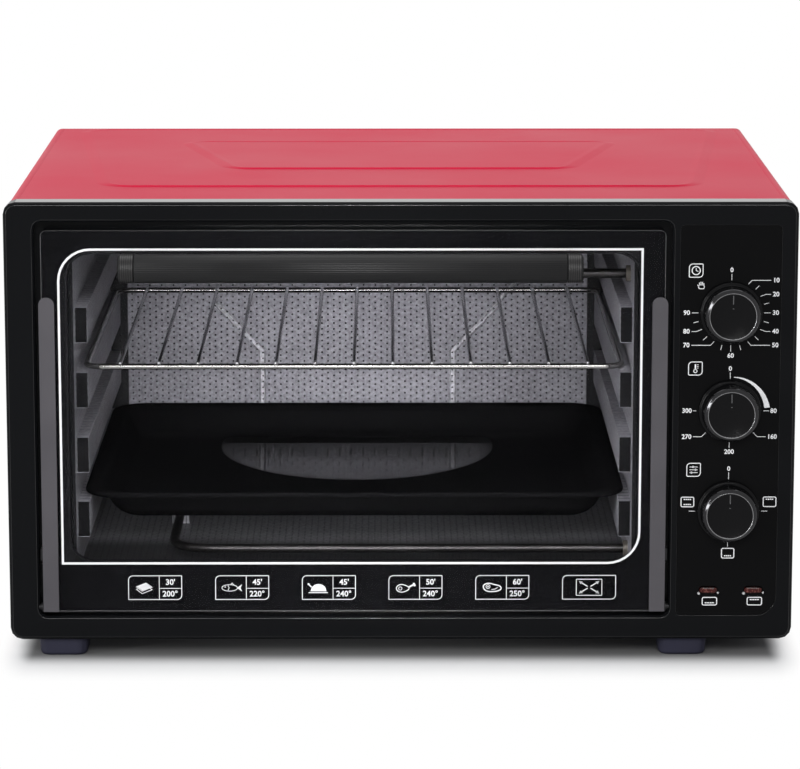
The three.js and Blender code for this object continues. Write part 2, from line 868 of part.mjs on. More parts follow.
function cavitySide(side) {
  const wall = doorCentreX + side * cavityHalf;
  const across = (near, far) => [Math.min(near, far), Math.max(near, far)];
  const plate = slab(...across(wall, wall + side * sheet), linerFront, sideBack, sideBottom, sideTop);
  const ribs = [];
  const hollows = [];
  for (let rib = 0; rib < ribCount; rib += 1) {
    const top = above(lowestRibTop) + rib * ribPitch;
    const bottom = top - ribHeight;
    const front = linerFront + ribInset;
    const back = sideBack - ribInset;
    ribs.push(slab(...across(wall + side * sheet / 2, wall - side * ribDepth), front, back, bottom, top));
    hollows.push(slab(
      ...across(wall + side * overrun, wall - side * (ribDepth - sheet)),
      front + sheet, back - sheet, bottom + sheet, top - sheet,
    ));
  }
  const holes = side > 0 ? rightWallHoles(wall) : [];
  return cut(join(plate, ...ribs), ...hollows, ...holes);
}

function rightWallHoles(wall) {
  const holes = heaterEnds.map(({ y, z }) => (
    rodAcross(insulatorRadius + gap, wall - overrun, wall + overrun, y, z)
  ));
  holes.push(rodAcross(bulbRadius + gap, wall - overrun, wall + overrun, sensorDepth, above(sensorHeight)));
  return holes;
}

addPiece('cavity_side_left', cavitySide(-1), linerSheet);
addPiece('cavity_side_right', cavitySide(1), linerSheet);

function cavityBackPlate() {
  const plate = slab(linerLeft, linerRight, cavityBack, linerBack, sideBottom, sideTop);
  const beadLine = (side, shift) => {
    const y = cavityBack + beadRadius - beadDepth + shift;
    const knee = doorCentreX + side * (cavityHalf - beadKneeSide);
    return sweep([
      new THREE.Vector3(doorCentreX + side * (cavityHalf - beadTopSide), y, cavityCeiling - beadTopDrop),
      new THREE.Vector3(knee, y, cavityCeiling - beadKneeDrop),
      new THREE.Vector3(knee, y, cavityFloor + 2 * beadRadius),
    ], beadRadius);
  };
  const behind = slab(
    linerLeft - overrun, linerRight + overrun, linerBack, linerBack + 4 * beadRadius, cavityFloor, cavityCeiling,
  );
  const pressed = join(plate, beadLine(-1, 0), beadLine(1, 0));
  return cut(pressed, beadLine(-1, sheet), beadLine(1, sheet), behind);
}

addPiece('cavity_back', cavityBackPlate(), linerSheet);

// Moulded front: a glossy frame with a stepped recess for the door, an opening onto the
// cavity, a seat for the control plate, and bearing holes for the door's hinge pins.
function moulding() {
  const middleZ = above(bodyHeight / 2);
  return loft([
    standingRing(0, middleZ, bezelDepth, bodyWidth, bodyHeight, bezelCorner),
    standingRing(0, middleZ, bezelEdge, bodyWidth, bodyHeight, bezelCorner),
    standingRing(0, middleZ, bezelEdge / 3, bodyWidth - bezelEdge, bodyHeight - bezelEdge, bezelCorner - bezelEdge / 2),
    standingRing(0, middleZ, 0, bodyWidth - 2 * bezelEdge, bodyHeight - 2 * bezelEdge, bezelCorner - bezelEdge),
  ]);
}

function doorRecess() {
  const z = above(recessBottom + recessHeight / 2);
  const flare = recessLip * 2;
  const x = doorCentreX;
  return loft([
    standingRing(x, z, -recessLip, recessWidth + 2 * flare, recessHeight + 2 * flare, recessCorner + flare),
    standingRing(x, z, recessLip, recessWidth, recessHeight, recessCorner),
    standingRing(x, z, recessDepth, recessWidth, recessHeight, recessCorner),
  ]);
}

function plateShape(clearance) {
  return roundShape(
    plateLeft - clearance,
    plateRight + clearance,
    above(plateBottom) - clearance,
    above(plateTop) + clearance,
    plateCorner + clearance,
    plateRoundCorner + clearance,
    plateCorner + clearance,
    plateCorner + clearance,
  );
}

function frontBezel() {
  const mouth = roundShape(
    cavityLeft - mouthMargin, cavityRight + mouthMargin, cavityFloor - mouthMargin, cavityCeiling + mouthMargin, mouthMargin,
  );
  const pocket = roundShape(
    plateLeft, bodyWidth / 2 - pocketMargin, above(pocketMargin), bodyTop - pocketMargin, mouthMargin,
  );
  const seatDepth = plateThickness + gap;
  const tools = [
    doorRecess(),
    standing(mouth, recessDepth - overrun, bezelDepth + overrun),
    standing(pocket, seatDepth + bezelWall, bezelDepth + overrun),
    standing(plateShape(gap), -overrun, seatDepth),
    ...[-1, 1].map((side) => armSlot(side, recessDepth - overrun, bezelDepth + overrun)),
    ...lampXs.map((x) => standing(lampHole(x, gap), -overrun, bezelDepth + overrun)),
  ];
  for (const control of controls) {
    tools.push(rodAlongDepth(shaftHole, -overrun, bezelDepth + overrun, controlX, above(control.height)));
  }
  for (const side of [-1, 1]) {
    const near = doorCentreX + side * (recessWidth / 2 - overrun);
    const far = doorCentreX + side * (recessWidth / 2 + pinReach);
    const radius = pinRadius + pinClearance;
    tools.push(rodAcross(radius, Math.min(near, far), Math.max(near, far), hingeDepth, hingeZ));
  }
  return cut(moulding(), ...tools);
}

addPiece('front_bezel', frontBezel(), blackGloss);

// Control plate: a thin glossy plate that carries the printed scales, let into the moulding.
const controlPlate = plateShape(0);
for (const control of controls) {
  controlPlate.holes.push(circle(controlX, above(control.height), shaftHole));
}
for (const x of lampXs) {
  controlPlate.holes.push(lampHole(x, gap));
}
addPiece('control_panel', standing(controlPlate, 0, plateThickness), blackGloss);

// Indicator lamps: red lenses that stand a little proud of the plate, each on its neon holder.
lampXs.forEach((x, n) => {
  const z = above(lampRise);
  const halfHeight = lampHeight / 2;
  const lens = loft([
    standingRing(x, z, -lampProud, lampWidth - lampProud * 2, lampHeight - lampProud * 2, halfHeight - lampProud),
    standingRing(x, z, -lampProud / 2, lampWidth - gap, lampHeight - gap, halfHeight - gap / 2),
    standingRing(x, z, lampDepth, lampWidth - gap, lampHeight - gap, halfHeight - gap / 2),
  ]);
  const collar = loft([
    standingRing(x, z, linerFront, lampWidth + 2 * lampFlange, lampHeight + 2 * lampFlange, halfHeight),
    standingRing(x, z, linerFront + lampFlange, lampWidth + 2 * lampFlange, lampHeight + 2 * lampFlange, halfHeight),
  ]);
  addPiece(`indicator_lamp_${n === 0 ? 'left' : 'right'}`, join(lens, collar), lampRed);
});

// Heat shield: a sheet between the hot liner and the controls, standing on the base plate.
function heatShield() {
  const left = linerRight + shieldOffset;
  const bottom = above(sheet + gap);
  const back = rearFront - gap;
  const plate = slab(left, left + sheet, linerFront, back, bottom, above(shieldHeight));
  const flange = slab(left, left + shieldFlange, anchorDepth + anchorWidth, back, bottom, bottom + sheet);
  const hole = rodAcross(bulbRadius + gap, left - overrun, left + overrun, sensorDepth, above(sensorHeight));
  return cut(join(plate, flange), hole);
}

addPiece('heat_shield', heatShield(), zincSheet);

// Rod heaters: each is one U of steel-sheathed rod with both ends out through the right wall.
function heater(height) {
  const z = above(height);
  const end = linerRight + heaterTail;
  const bend = doorCentreX - heaterReach;
  const corners = [
    new THREE.Vector3(end, heaterFront, z),
    new THREE.Vector3(bend, heaterFront, z),
    new THREE.Vector3(bend, heaterBack, z),
    new THREE.Vector3(end, heaterBack, z),
  ];
  return sweep(roundedPath(corners, heaterBend, 2 * bendSteps), heaterRadius);
}

addPiece('bottom_heater', heater(bottomHeaterHeight), heaterSteel);
addPiece('top_heater', heater(topHeaterHeight), heaterSteel);

// Ceramic insulators: flanged beads that hold the heater ends in the right wall.
for (const { name, y, z } of heaterEnds) {
  const bore = heaterRadius + gap;
  const flangeLeft = linerRight + gap;
  const profile = [
    [bore, cavityRight - insulatorNose],
    [insulatorRadius, cavityRight - insulatorNose],
    [insulatorRadius, flangeLeft],
    [insulatorFlange, flangeLeft],
    [insulatorFlange, flangeLeft + insulatorFlangeDepth],
    [bore, flangeLeft + insulatorFlangeDepth],
    [bore, cavityRight - insulatorNose],
  ];
  addPiece(name, turnedAcross(profile, y, z, smallSides), ceramic);
}

// Control bodies: the clockwork timer, the capillary thermostat and the heater selector, each
// on the front frame with its collar through it, a bore for its shaft and tabs for its leads.
function collared(body, height, depth) {
  const z = above(height);
  const collar = rodAlongDepth(collarRadius, collarReach, linerFront + overrun, controlX, z, roundSides);
  const bore = rodAlongDepth(shaftRadius + gap, collarReach - overrun, linerFront + shaftSeat + gap, controlX, z, roundSides);
  const lugs = [-1, 0, 1].map((place) => {
    const x = controlX + place * lugPitch;
    const back = linerFront + depth;
    return slab(x - lugThickness / 2, x + lugThickness / 2, back - overrun, back + lugReach, z - lugWidth / 2, z + lugWidth / 2);
  });
  return { whole: (extra) => cut(join(body, collar, ...extra(lugs)), bore) };
}

function boxBody(height, width, tall, depth) {
  const z = above(height);
  const corner = mouthMargin;
  const outline = roundShape(controlX - width / 2, controlX + width / 2, z - tall / 2, z + tall / 2, corner);
  return standing(outline, linerFront, linerFront + depth, 2);
}

const timerBack = linerFront + timerDepth;
const bellPost = rodAlongDepth(bellPostRadius, timerBack - overrun, timerBack + bellPostReach, controlX, above(timerHeight));
const timerCase = boxBody(timerHeight, timerWidth, timerTall, timerDepth);
addPiece('timer_body', collared(timerCase, timerHeight, timerDepth).whole(() => [bellPost]), zincSheet);

const thermostatCase = boxBody(thermostatHeight, thermostatWidth, thermostatTall, thermostatDepth);
addPiece('thermostat_body', collared(thermostatCase, thermostatHeight, thermostatDepth).whole((lugs) => lugs), phenolic);

const switchCase = rodAlongDepth(switchRadius, linerFront, linerFront + switchDepth, controlX, above(functionHeight), switchSides);
addPiece('function_switch_body', collared(switchCase, functionHeight, switchDepth).whole((lugs) => lugs), phenolic);

// Timer bell: a small turned cup on the post behind the timer.
const bellFront = timerBack + gap;
const bellProfile = [
  [bellPostRadius + gap, bellFront + gap],
  [bellRadius / 2, bellFront + gap],
  [bellRadius - bellWall, bellFront + bellDepth / 2],
  [bellRadius, bellFront + bellDepth],
  [bellRadius - bellWall, bellFront + bellDepth],
  [bellRadius - 2 * bellWall, bellFront + bellDepth / 2 + bellWall / 2],
  [bellRadius / 2 - bellWall / 2, bellFront + gap + bellWall],
  [bellPostRadius + gap, bellFront + gap + bellWall],
  [bellPostRadius + gap, bellFront + gap],
];
addPiece('timer_bell', turned(bellProfile, controlX, above(timerHeight), hiddenSides), brass);

// Thermostat sensor: a thin capillary from the thermostat to a bulb beside the right wall.
function thermostatSensor() {
  const start = controlX - thermostatWidth / 2 - gap;
  const column = (linerRight + shieldOffset + sheet + start) / 2;
  const z = above(sensorHeight);
  const bulbX = cavityRight - sensorStandoff;
  const leadY = linerFront + thermostatDepth / 2;
  const corners = [
    new THREE.Vector3(start, leadY, above(thermostatHeight)),
    new THREE.Vector3(column, leadY, above(thermostatHeight)),
    new THREE.Vector3(column, leadY, z),
    new THREE.Vector3(column, sensorDepth, z),
    new THREE.Vector3(bulbX, sensorDepth, z),
    new THREE.Vector3(bulbX, sensorDepth + 2 * sensorBend, z),
  ];
  const capillary = sweep(roundedPath(corners, sensorBend), capillaryRadius, rodSides - 2);
  const bulbFront = sensorDepth + sensorBend;
  const bulb = rodAlongDepth(bulbRadius, bulbFront + sensorBend / 2, bulbFront + bulbLength, bulbX, z);
  return join(capillary, bulb);
}

addPiece('thermostat_sensor', thermostatSensor(), brass);

// Terminal block: a ceramic block on the base plate behind the controls, with open wells.
function terminalBlock() {
  const back = rearFront - terminalInset;
  const bottom = above(sheet + gap);
  const left = controlX - terminalWidth / 2;
  const block = slab(left, left + terminalWidth, back - terminalDepth, back, bottom, bottom + terminalHeight);
  const wells = [];
  for (let n = 0; n < terminalWells; n += 1) {
    const x = left + (n + 0.5) * terminalWidth / terminalWells;
    const y = back - terminalDepth / 2;
    const floor = bottom + terminalHeight / 2;
    const half = terminalWell / 2;
    wells.push(slab(x - half, x + half, y - half, y + half, floor, bottom + terminalHeight + overrun));
  }
  return cut(block, ...wells);
}

addPiece('terminal_block', terminalBlock(), ceramic);

// Shafts: steel spindles with a flat, which turn in the control bodies and carry the knobs.
function shaft(height, clearance = 0) {
  const z = above(height);
  const front = -shaftFront - clearance;
  const back = linerFront + shaftSeat;
  const rod = rodAlongDepth(shaftRadius + clearance, front, back, controlX, z, roundSides);
  const flat = z + shaftRadius - shaftFlat + clearance;
  const side = shaftRadius + overrun;
  return cut(rod, slab(controlX - side, controlX + side, front - overrun, 0, flat, z + side));
}

// Knobs: hollow mouldings with a skirt, a tapered grip, a hub on the shaft and a raised pointer.
function knob(height) {
  const z = above(height);
  const back = -knobStandoff;
  const front = -knobDepth;
  const skirtFront = back - knobSkirtDepth;
  const outside = [
    [0, back],
    [knobSkirtRadius, back],
    [knobSkirtRadius, skirtFront],
    [knobBodyRadius, skirtFront - knobEdge],
    [knobFaceRadius, front + knobEdge],
    [knobFaceRadius - knobEdge, front],
    [0, front],
  ];
  const hollowFront = front + knobWall;
  const hollow = [
    [knobHub, back + overrun],
    [knobFaceRadius - knobWall, back + overrun],
    [knobFaceRadius - knobWall, hollowFront],
    [knobHub, hollowFront],
    [knobHub, back + overrun],
  ];
  const pointer = slab(
    controlX - pointerWidth / 2, controlX + pointerWidth / 2, front - pointerRise, front + pointerRise,
    z + knobFaceRadius - 2 * knobEdge - pointerLength, z + knobFaceRadius - 2 * knobEdge,
  );
  const body = join(turned(outside, controlX, z), pointer);
  return cut(body, turned(hollow, controlX, z), shaft(height, gap));
}

for (const control of controls) {
  addPiece(`${control.name}_shaft`, shaft(control.height), steel);
  addPiece(`${control.name}_knob`, knob(control.height), blackGloss);
}

// Door glass: one toughened pane with ground edges and a hole for each handle screw.
const handleEnds = [
  { name: 'left', side: -1 },
  { name: 'right', side: 1 },
].map(({ name, side }) => ({
  name,
  side,
  x: handleCentreX + side * (handleLength - handleCap) / 2,
}));
const glass = roundShape(
  doorCentreX - glassHalf, doorCentreX + glassHalf, above(glassBottom), above(glassTop), glassCorner,
);
for (const { x } of handleEnds) {
  glass.holes.push(circle(x, above(handleHeight), glassHole));
}
addPiece('door_glass', standing(glass, 0, glassThickness), smokedGlass);

// Door inner frame: a pressed steel ring behind the glass, open at the window.
function doorInnerFrame() {
  const front = glassThickness + gap;
  const back = front + frameDepth;
  const left = doorCentreX - glassHalf + frameInset;
  const right = doorCentreX + glassHalf - frameInset;
  const top = above(glassTop) - frameInset;
  const outline = roundShape(left, right, above(frameBottom), top, glassCorner);
  const windowHole = roundShape(
    doorCentreX - windowWidth / 2, doorCentreX + windowWidth / 2, above(windowBottom), above(windowTop), windowCorner,
  );
  outline.holes.push(windowHole);
  const ring = standing(outline, front, back);
  const channelShape = roundShape(
    left + frameWall, right - frameWall, above(frameBottom) + frameWall, top - frameWall, glassCorner - frameWall,
  );
  const wallLeft = doorCentreX - windowWidth / 2 - frameWall;
  const wallRight = doorCentreX + windowWidth / 2 + frameWall;
  channelShape.holes.push(roundShape(
    wallLeft, wallRight, above(windowBottom) - frameWall, above(windowTop) + frameWall, windowCorner + frameWall,
  ));
  return cut(ring, standing(channelShape, front - overrun, back - frameWall));
}

addPiece('door_inner_frame', doorInnerFrame(), darkSheet);

// Side trims: folded steel channels that clasp the glass and the inner frame down each side,
// with a round-topped grey face.
function trim(side) {
  const edge = doorCentreX + side * trimOuter;
  const across = (near, far) => [Math.min(near, far), Math.max(near, far)];
  const bottom = above(glassBottom) + trimRise;
  const top = bottom + trimHeight;
  const faceFront = -gap - trimFace;
  const back = glassThickness + 2 * gap + frameDepth;
  const [faceLeft, faceRight] = across(edge, edge - side * trimWidth);
  const roundTop = trimWidth / 2 - gap;
  const face = standing(
    roundShape(faceLeft, faceRight, bottom, top, gap, gap, roundTop, roundTop), faceFront, -gap,
  );
  const wall = slab(...across(edge, edge - side * trimSheet), -gap - trimFace / 2, back + trimFace / 2, bottom, top - trimWidth / 2);
  const flange = slab(...across(edge, edge - side * trimBackFlange), back, back + trimFace, bottom, top - trimWidth);
  const hole = rodAcross(
    pinRadius + gap, edge - trimSheet - overrun, edge + trimSheet + overrun, hingeDepth, hingeZ,
  );
  return cut(join(face, wall, flange), hole);
}

addPiece('door_trim_left', trim(-1), greyTrim);
addPiece('door_trim_right', trim(1), greyTrim);

// Hinge pins: steel pins riveted through the trims, with a collar, turning in the moulding.
function hingePin(side) {
  const at = (half) => side * half;
  const profile = [
    [0, at(glassHalf + gap)],
    [pinRadius, at(glassHalf + gap)],
    [pinRadius, at(armInner)],
    [pinCollar, at(armInner)],
    [pinCollar, at(armOuter)],
    [pinRadius, at(armOuter)],
    [pinRadius, at(recessWidth / 2 + pinReach - gap)],
    [0, at(recessWidth / 2 + pinReach - gap)],
  ];
  return turnedAcross(profile, hingeDepth, hingeZ, smallSides).translate(doorCentreX, 0, 0);
}

addPiece('hinge_pin_left', hingePin(-1), steel);
addPiece('hinge_pin_right', hingePin(1), steel);

// Hinge arms: quadrant levers on the trims, concentric with the hinge pins, which reach back
// through slots in the front and pull on the door springs.
const degrees = Math.PI / 180;
const tailY = hingeDepth + armRadius * Math.cos(armTailAngle * degrees);
const tailZ = hingeZ + armRadius * Math.sin(armTailAngle * degrees);

function hingeArm(side) {
  const sector = new THREE.Shape();
  const from = armTailAngle * degrees;
  const to = armFrontAngle * degrees;
  sector.absarc(hingeDepth, hingeZ, armRadius + armHalfWidth, from, to, false);
  sector.absarc(hingeDepth, hingeZ, armRadius - armHalfWidth, to, from, true);
  sector.closePath();
  const near = doorCentreX + side * armInner;
  const far = doorCentreX + side * armOuter;
  const [left, right] = [Math.min(near, far), Math.max(near, far)];
  const plate = sideways(sector, left, right, smallSides);
  const eye = rodAcross(armHalfWidth, left, right, tailY, tailZ);
  const hole = rodAcross(armHole, left - overrun, right + overrun, tailY, tailZ);
  return cut(join(plate, eye), hole);
}

addPiece('hinge_arm_left', hingeArm(-1), steel);
addPiece('hinge_arm_right', hingeArm(1), steel);

// Door springs: each is one wire, hooked through the arm's eye, wound, and hooked through the
// tab on the base plate.
function doorSpring(side) {
  const plateX = armMiddle(side);
  const inward = -side;
  const coilX = plateX + inward * springOffset;
  const arm = new THREE.Vector3(coilX, tailY, tailZ);
  const anchor = new THREE.Vector3(coilX, anchorDepth, above(anchorHeight));
  const along = anchor.clone().sub(arm).normalize();
  const seat = armHole - springWire - gap;
  arm.addScaledVector(along, seat);
  anchor.addScaledVector(along, -seat);
  const reach = anchor.distanceTo(arm) - 2 * springLead;
  const up = new THREE.Vector3(1, 0, 0).cross(along).normalize();
  const out = new THREE.Vector3(1, 0, 0);
  const path = [arm.clone().setX(plateX - inward * springOffset / 2), arm.clone()];
  const steps = springTurns * wireSides;
  for (let n = 0; n <= steps; n += 1) {
    const angle = n / wireSides * 2 * Math.PI;
    const point = arm.clone().addScaledVector(along, springLead + reach * n / steps);
    point.addScaledVector(up, springRadius * Math.cos(angle));
    path.push(point.addScaledVector(out, springRadius * Math.sin(angle)));
  }
  path.push(anchor.clone(), anchor.clone().setX(plateX - inward * springOffset / 2));
  return sweep(path, springWire, rodSides / 2);
}

addPiece('door_spring_left', doorSpring(-1), steel);
addPiece('door_spring_right', doorSpring(1), steel);

// Handle: a grooved tube between two capped brackets, each screwed on through the glass.
const handleZ = above(handleHeight);
const tubeHalf = handleLength / 2 - handleCap - gap;
const tubeProfile = [
  [handleBore, -tubeHalf],
  [handleRadius, -tubeHalf],
  [handleRadius, tubeHalf],
  [handleBore, tubeHalf],
  [handleBore, -tubeHalf],
];
const handleTube = turnedAcross(tubeProfile, -handleStandoff, handleZ).translate(handleCentreX, 0, 0);
addPiece('door_handle', handleTube, blackMatt);

function handleEnd({ side, x }) {
  const cap = [
    [0, side * (-handleCap / 2)],
    [handleRadius, side * (-handleCap / 2)],
    [handleRadius, side * (handleCap / 2 - knobEdge)],
    [handleRadius - knobEdge, side * handleCap / 2],
    [0, side * handleCap / 2],
  ];
  const spigotRadius = handleBore - gap;
  const inner = x - side * handleCap / 2;
  const tip = inner - side * handleSpigot;
  const spigot = rodAcross(spigotRadius, Math.min(inner, tip) - gap, Math.max(inner, tip) + gap, -handleStandoff, handleZ, roundSides);
  const half = handleArmWidth / 2;
  const arm = slab(x - half, x + half, -handleStandoff, -gap, handleZ - handleArmHeight / 2, handleZ + handleArmHeight / 2);
  const hole = rodAlongDepth(handleScrewRadius + gap, -handleScrewReach - gap, overrun, x, handleZ);
  const disc = turnedAcross(cap, -handleStandoff, handleZ).translate(x, 0, 0);
  return cut(join(disc, spigot, arm), hole);
}

for (const end of handleEnds) {
  addPiece(`handle_end_${end.name}`, handleEnd(end), blackMatt);
  const headFront = glassThickness + gap;
  const screw = [
    [0, -handleScrewReach],
    [handleScrewRadius, -handleScrewReach],
    [handleScrewRadius, headFront],
    [handleScrewHead, headFront],
    [handleScrewHead, headFront + handleScrewHeadHeight / 2],
    [handleScrewHead / 2, headFront + handleScrewHeadHeight],
    [0, headFront + handleScrewHeadHeight],
  ];
  addPiece(`handle_screw_${end.name}`, turned(screw, end.x, handleZ, smallSides), steel);
}

// Wire rack: a chromed frame rod with wires laid across it from front to back and welded.
function wireRack() {
  const width = cavityWidth - 2 * rackMargin;
  const depth = rackBack - rackFront;
  const shelf = above(lowestRibTop + (ribCount - 2) * ribPitch);
  const z = shelf + gap + rackRod;
  const middleY = (rackFront + rackBack) / 2;
  const loop = roundOutline(width - 2 * rackRod, depth - 2 * rackRod, rackCorner)
    .map((p) => new THREE.Vector3(doorCentreX + p.x, middleY + p.y, z));
  const frame = sweep(loop, rackRod, wireSides, true);
  const wireZ = z + rackRod;
  const count = Math.floor((width / 2 - rackCorner) / rackPitch);
  const wires = [];
  for (let n = -count; n <= count; n += 1) {
    const x = doorCentreX + n * rackPitch;
    wires.push(rodAlongDepth(rackWire, rackFront + rackRod / 2, rackBack - rackRod / 2, x, wireZ, wireSides));
  }
  return join(frame, ...wires);
}

addPiece('wire_rack', wireRack(), chromeWire);

// Baking tray: an enamelled pressing with sloping sides, a rolled rim and a slightly dished
// floor, resting by its rim on the lowest pair of ribs.
function bakingTray() {
  const x = doorCentreX;
  const y = (trayFront + trayBack) / 2;
  const width = cavityWidth - 2 * trayMargin;
  const depth = trayBack - trayFront;
  const rimBottom = above(lowestRibTop) + gap;
  const rimTop = rimBottom + trayRimHeight;
  const floor = rimTop - trayDepth;
  const ring = (inset, z) => lyingRing(x, y, z, width - 2 * inset, depth - 2 * inset, trayCorner - Math.min(inset, trayCorner / 2));
  const bottomInset = trayRim + traySlope;
  return loft([
    ring(bottomInset + trayWall, floor - trayWall),
    ring(trayRim + traySlope * 0.35 + trayWall, floor + trayFloorCurve - trayWall),
    ring(trayRim + trayWall, rimTop - 2 * trayWall),
    ring(trayWall * 2, rimTop - 2 * trayWall),
    ring(trayWall, rimBottom),
    ring(0, rimBottom),
    ring(0, rimTop - trayWall),
    ring(trayWall, rimTop),
    ring(trayRim - trayWall, rimTop),
    ring(trayRim + trayWall * 2, rimTop - 2 * trayWall),
    ring(trayRim + traySlope * 0.35 + 2 * trayWall, floor + trayFloorCurve),
    ring(bottomInset + 2 * trayWall, floor),
  ]);
}

addPiece('baking_tray', bakingTray(), enamel);

// The outer box: the handle reaches furthest forward and the cable gland furthest back.
const frontReach = -handleStandoff - handleRadius;
const backReach = bodyDepth + gap + glandNose;
oven.children.forEach((mesh) => mesh.geometry.translate(0, -(frontReach + backReach) / 2, 0));

export default oven;
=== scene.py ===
# Frame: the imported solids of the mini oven. Every piece below is made round them, in metres,
# with +X to the right of the front, +Y towards the back and +Z up.
import math

import bmesh
import bpy
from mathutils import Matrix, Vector
from mathutils.geometry import delaunay_2d_cdt


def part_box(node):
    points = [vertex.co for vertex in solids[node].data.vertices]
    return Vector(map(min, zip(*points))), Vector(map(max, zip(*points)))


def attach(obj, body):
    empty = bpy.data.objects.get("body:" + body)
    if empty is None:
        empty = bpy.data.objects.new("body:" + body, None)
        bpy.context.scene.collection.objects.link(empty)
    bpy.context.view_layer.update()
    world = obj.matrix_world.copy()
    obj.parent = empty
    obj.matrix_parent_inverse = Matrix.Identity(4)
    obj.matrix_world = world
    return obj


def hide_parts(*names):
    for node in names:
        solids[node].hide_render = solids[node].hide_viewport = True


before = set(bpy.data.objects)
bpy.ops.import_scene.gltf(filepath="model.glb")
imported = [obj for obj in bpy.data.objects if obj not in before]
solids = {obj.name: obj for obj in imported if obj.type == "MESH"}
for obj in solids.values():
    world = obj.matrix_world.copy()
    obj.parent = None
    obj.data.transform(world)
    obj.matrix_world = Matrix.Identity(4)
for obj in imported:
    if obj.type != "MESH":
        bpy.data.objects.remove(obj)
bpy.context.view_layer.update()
scene = bpy.context.scene
scene.view_settings.view_transform = "Standard"

# Camera: a long lens a little above the front and a little left of the middle, so that the
# top shows as a low band over the front. Its place and tilt were fitted to the body's outline.
camera_place = (-0.01044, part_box("front_bezel")[0].y - 2.49068, 0.66636)
camera_tilt, camera_turn = 0.190704, 0.003912

camera_data = bpy.data.cameras.new("camera")
camera_data.sensor_fit = "HORIZONTAL"
camera_data.sensor_width = 36.0
camera_data.lens = 173.546
camera_data.clip_start = 0.1
camera_data.clip_end = 40.0
camera = bpy.data.objects.new("camera", camera_data)
camera.location = camera_place
camera.rotation_euler = (math.pi / 2 - camera_tilt, 0.0, -camera_turn)
scene.collection.objects.link(camera)
scene.camera = camera

# Studio: a pale floor that runs out of sight, a white surround, and large soft lamps above,
# at the left and in front.
def feed(tree, node, inputs):
    """Set each input of a node to a value, or link it from another node's output."""
    for label, value in inputs.items():
        if isinstance(value, bpy.types.NodeSocket):
            tree.links.new(value, node.inputs[label])
        else:
            node.inputs[label].default_value = value


def add_node(tree, kind, inputs, out=0, **settings):
    """Add one shader node, and give back one of its outputs."""
    node = tree.nodes.new(f"ShaderNode{kind}")
    for label, setting in settings.items():
        setattr(node, label, setting)
    feed(tree, node, inputs)
    return node.outputs[out]


def object_place(tree):
    """Where a point lies on the oven, in metres."""
    return add_node(tree, "TexCoord", {}, "Object")


def reckon(tree, operation, first, second=0.0):
    return add_node(tree, "Math", {0: first, 1: second}, operation=operation)


def reckon_vector(tree, operation, first, second=(0.0, 0.0, 0.0)):
    out = "Value" if operation == "LENGTH" else "Vector"
    return add_node(tree, "VectorMath", {0: first, 1: second}, out, operation=operation)


def ramp(tree, value, start, end, low=0.0, high=1.0, shape="SMOOTHSTEP"):
    """Carry a value from one range into another, and no further."""
    inputs = {"Value": value, "From Min": start, "From Max": end, "To Min": low, "To Max": high}
    return add_node(tree, "MapRange", inputs, interpolation_type=shape)


def mix_colours(tree, factor, first, second, blend="MIX"):
    """Mix two colours, each given as red, green and blue or as an output."""
    ends = [end if isinstance(end, bpy.types.NodeSocket) else (*end, 1.0) for end in (first, second)]
    inputs = {"Factor": factor, 6: ends[0], 7: ends[1]}
    return add_node(tree, "Mix", inputs, 2, data_type="RGBA", blend_type=blend)


def seen_rays(tree):
    """1 for rays from the camera and those that gloss or glass sends on."""
    paths = tree.nodes.new("ShaderNodeLightPath").outputs
    total = paths["Is Camera Ray"]
    for label in ("Is Glossy Ray", "Is Transmission Ray"):
        total = reckon(tree, "MAXIMUM", total, paths[label])
    return total


world = bpy.data.worlds.new("studio")
scene.world = world
world.use_nodes = True
tree = world.node_tree
surround = tree.nodes["Background"]
feed(tree, surround, {"Color": (0.93, 0.95, 1.0, 1.0), "Strength": 0.34})
white = add_node(tree, "Background", {"Color": (1.0, 1.0, 1.0, 1.0), "Strength": 1.0})
shown = add_node(tree, "MixShader", {"Fac": seen_rays(tree), 1: surround.outputs["Background"], 2: white})
feed(tree, tree.nodes["World Output"], {"Surface": shown})

floor_half = 9.0
# The paper's colour is darkened under the oven as a painted shadow, and past this block that shadow fades
# into the white.
shadow_block = (0.245, 0.175, 0.0)
shadow_reach, darkest_reach, darkest = 0.075, 0.035, 0.27
sideways_share = 3.0

floor_mesh = bpy.data.meshes.new("floor")
floor_corners = [(x * floor_half, y * floor_half, 0.0) for x, y in ((-1, -1), (1, -1), (1, 1), (-1, 1))]
floor_mesh.from_pydata(floor_corners, [], [(0, 1, 2, 3)])
floor = bpy.data.objects.new("floor", floor_mesh)
scene.collection.objects.link(floor)
paper = bpy.data.materials.new("pale_paper")
paper.use_nodes = True
tree = paper.node_tree
shader = tree.nodes["Principled BSDF"]
fibres = add_node(tree, "TexNoise", {"Scale": 40.0})
tint = mix_colours(tree, fibres, (0.80, 0.80, 0.805), (0.84, 0.84, 0.845))
beyond = reckon_vector(tree, "ABSOLUTE", object_place(tree))
beyond = reckon_vector(tree, "SUBTRACT", beyond, shadow_block)
beyond = reckon_vector(tree, "MAXIMUM", beyond)
beyond = reckon_vector(tree, "MULTIPLY", beyond, (sideways_share, 1.0, 1.0))
far = reckon_vector(tree, "LENGTH", beyond)
# Painted shadow: near and under the oven the paper's colour is multiplied down to the darkest share.
painted_shadow_paper = mix_colours(tree, 1.0, tint, ramp(tree, far, 0.0, darkest_reach, darkest), "MULTIPLY")
feed(tree, shader, {"Base Color": painted_shadow_paper, "Roughness": 0.9, "Specular IOR Level": 0.1})
lost = reckon(tree, "MULTIPLY", seen_rays(tree), ramp(tree, far, 0.0, shadow_reach))
glow = add_node(tree, "Emission", {})
paper_end = add_node(tree, "MixShader", {"Fac": lost, 1: shader.outputs["BSDF"], 2: glow})
feed(tree, tree.nodes["Material Output"], {"Surface": paper_end})
floor_mesh.materials.append(paper)


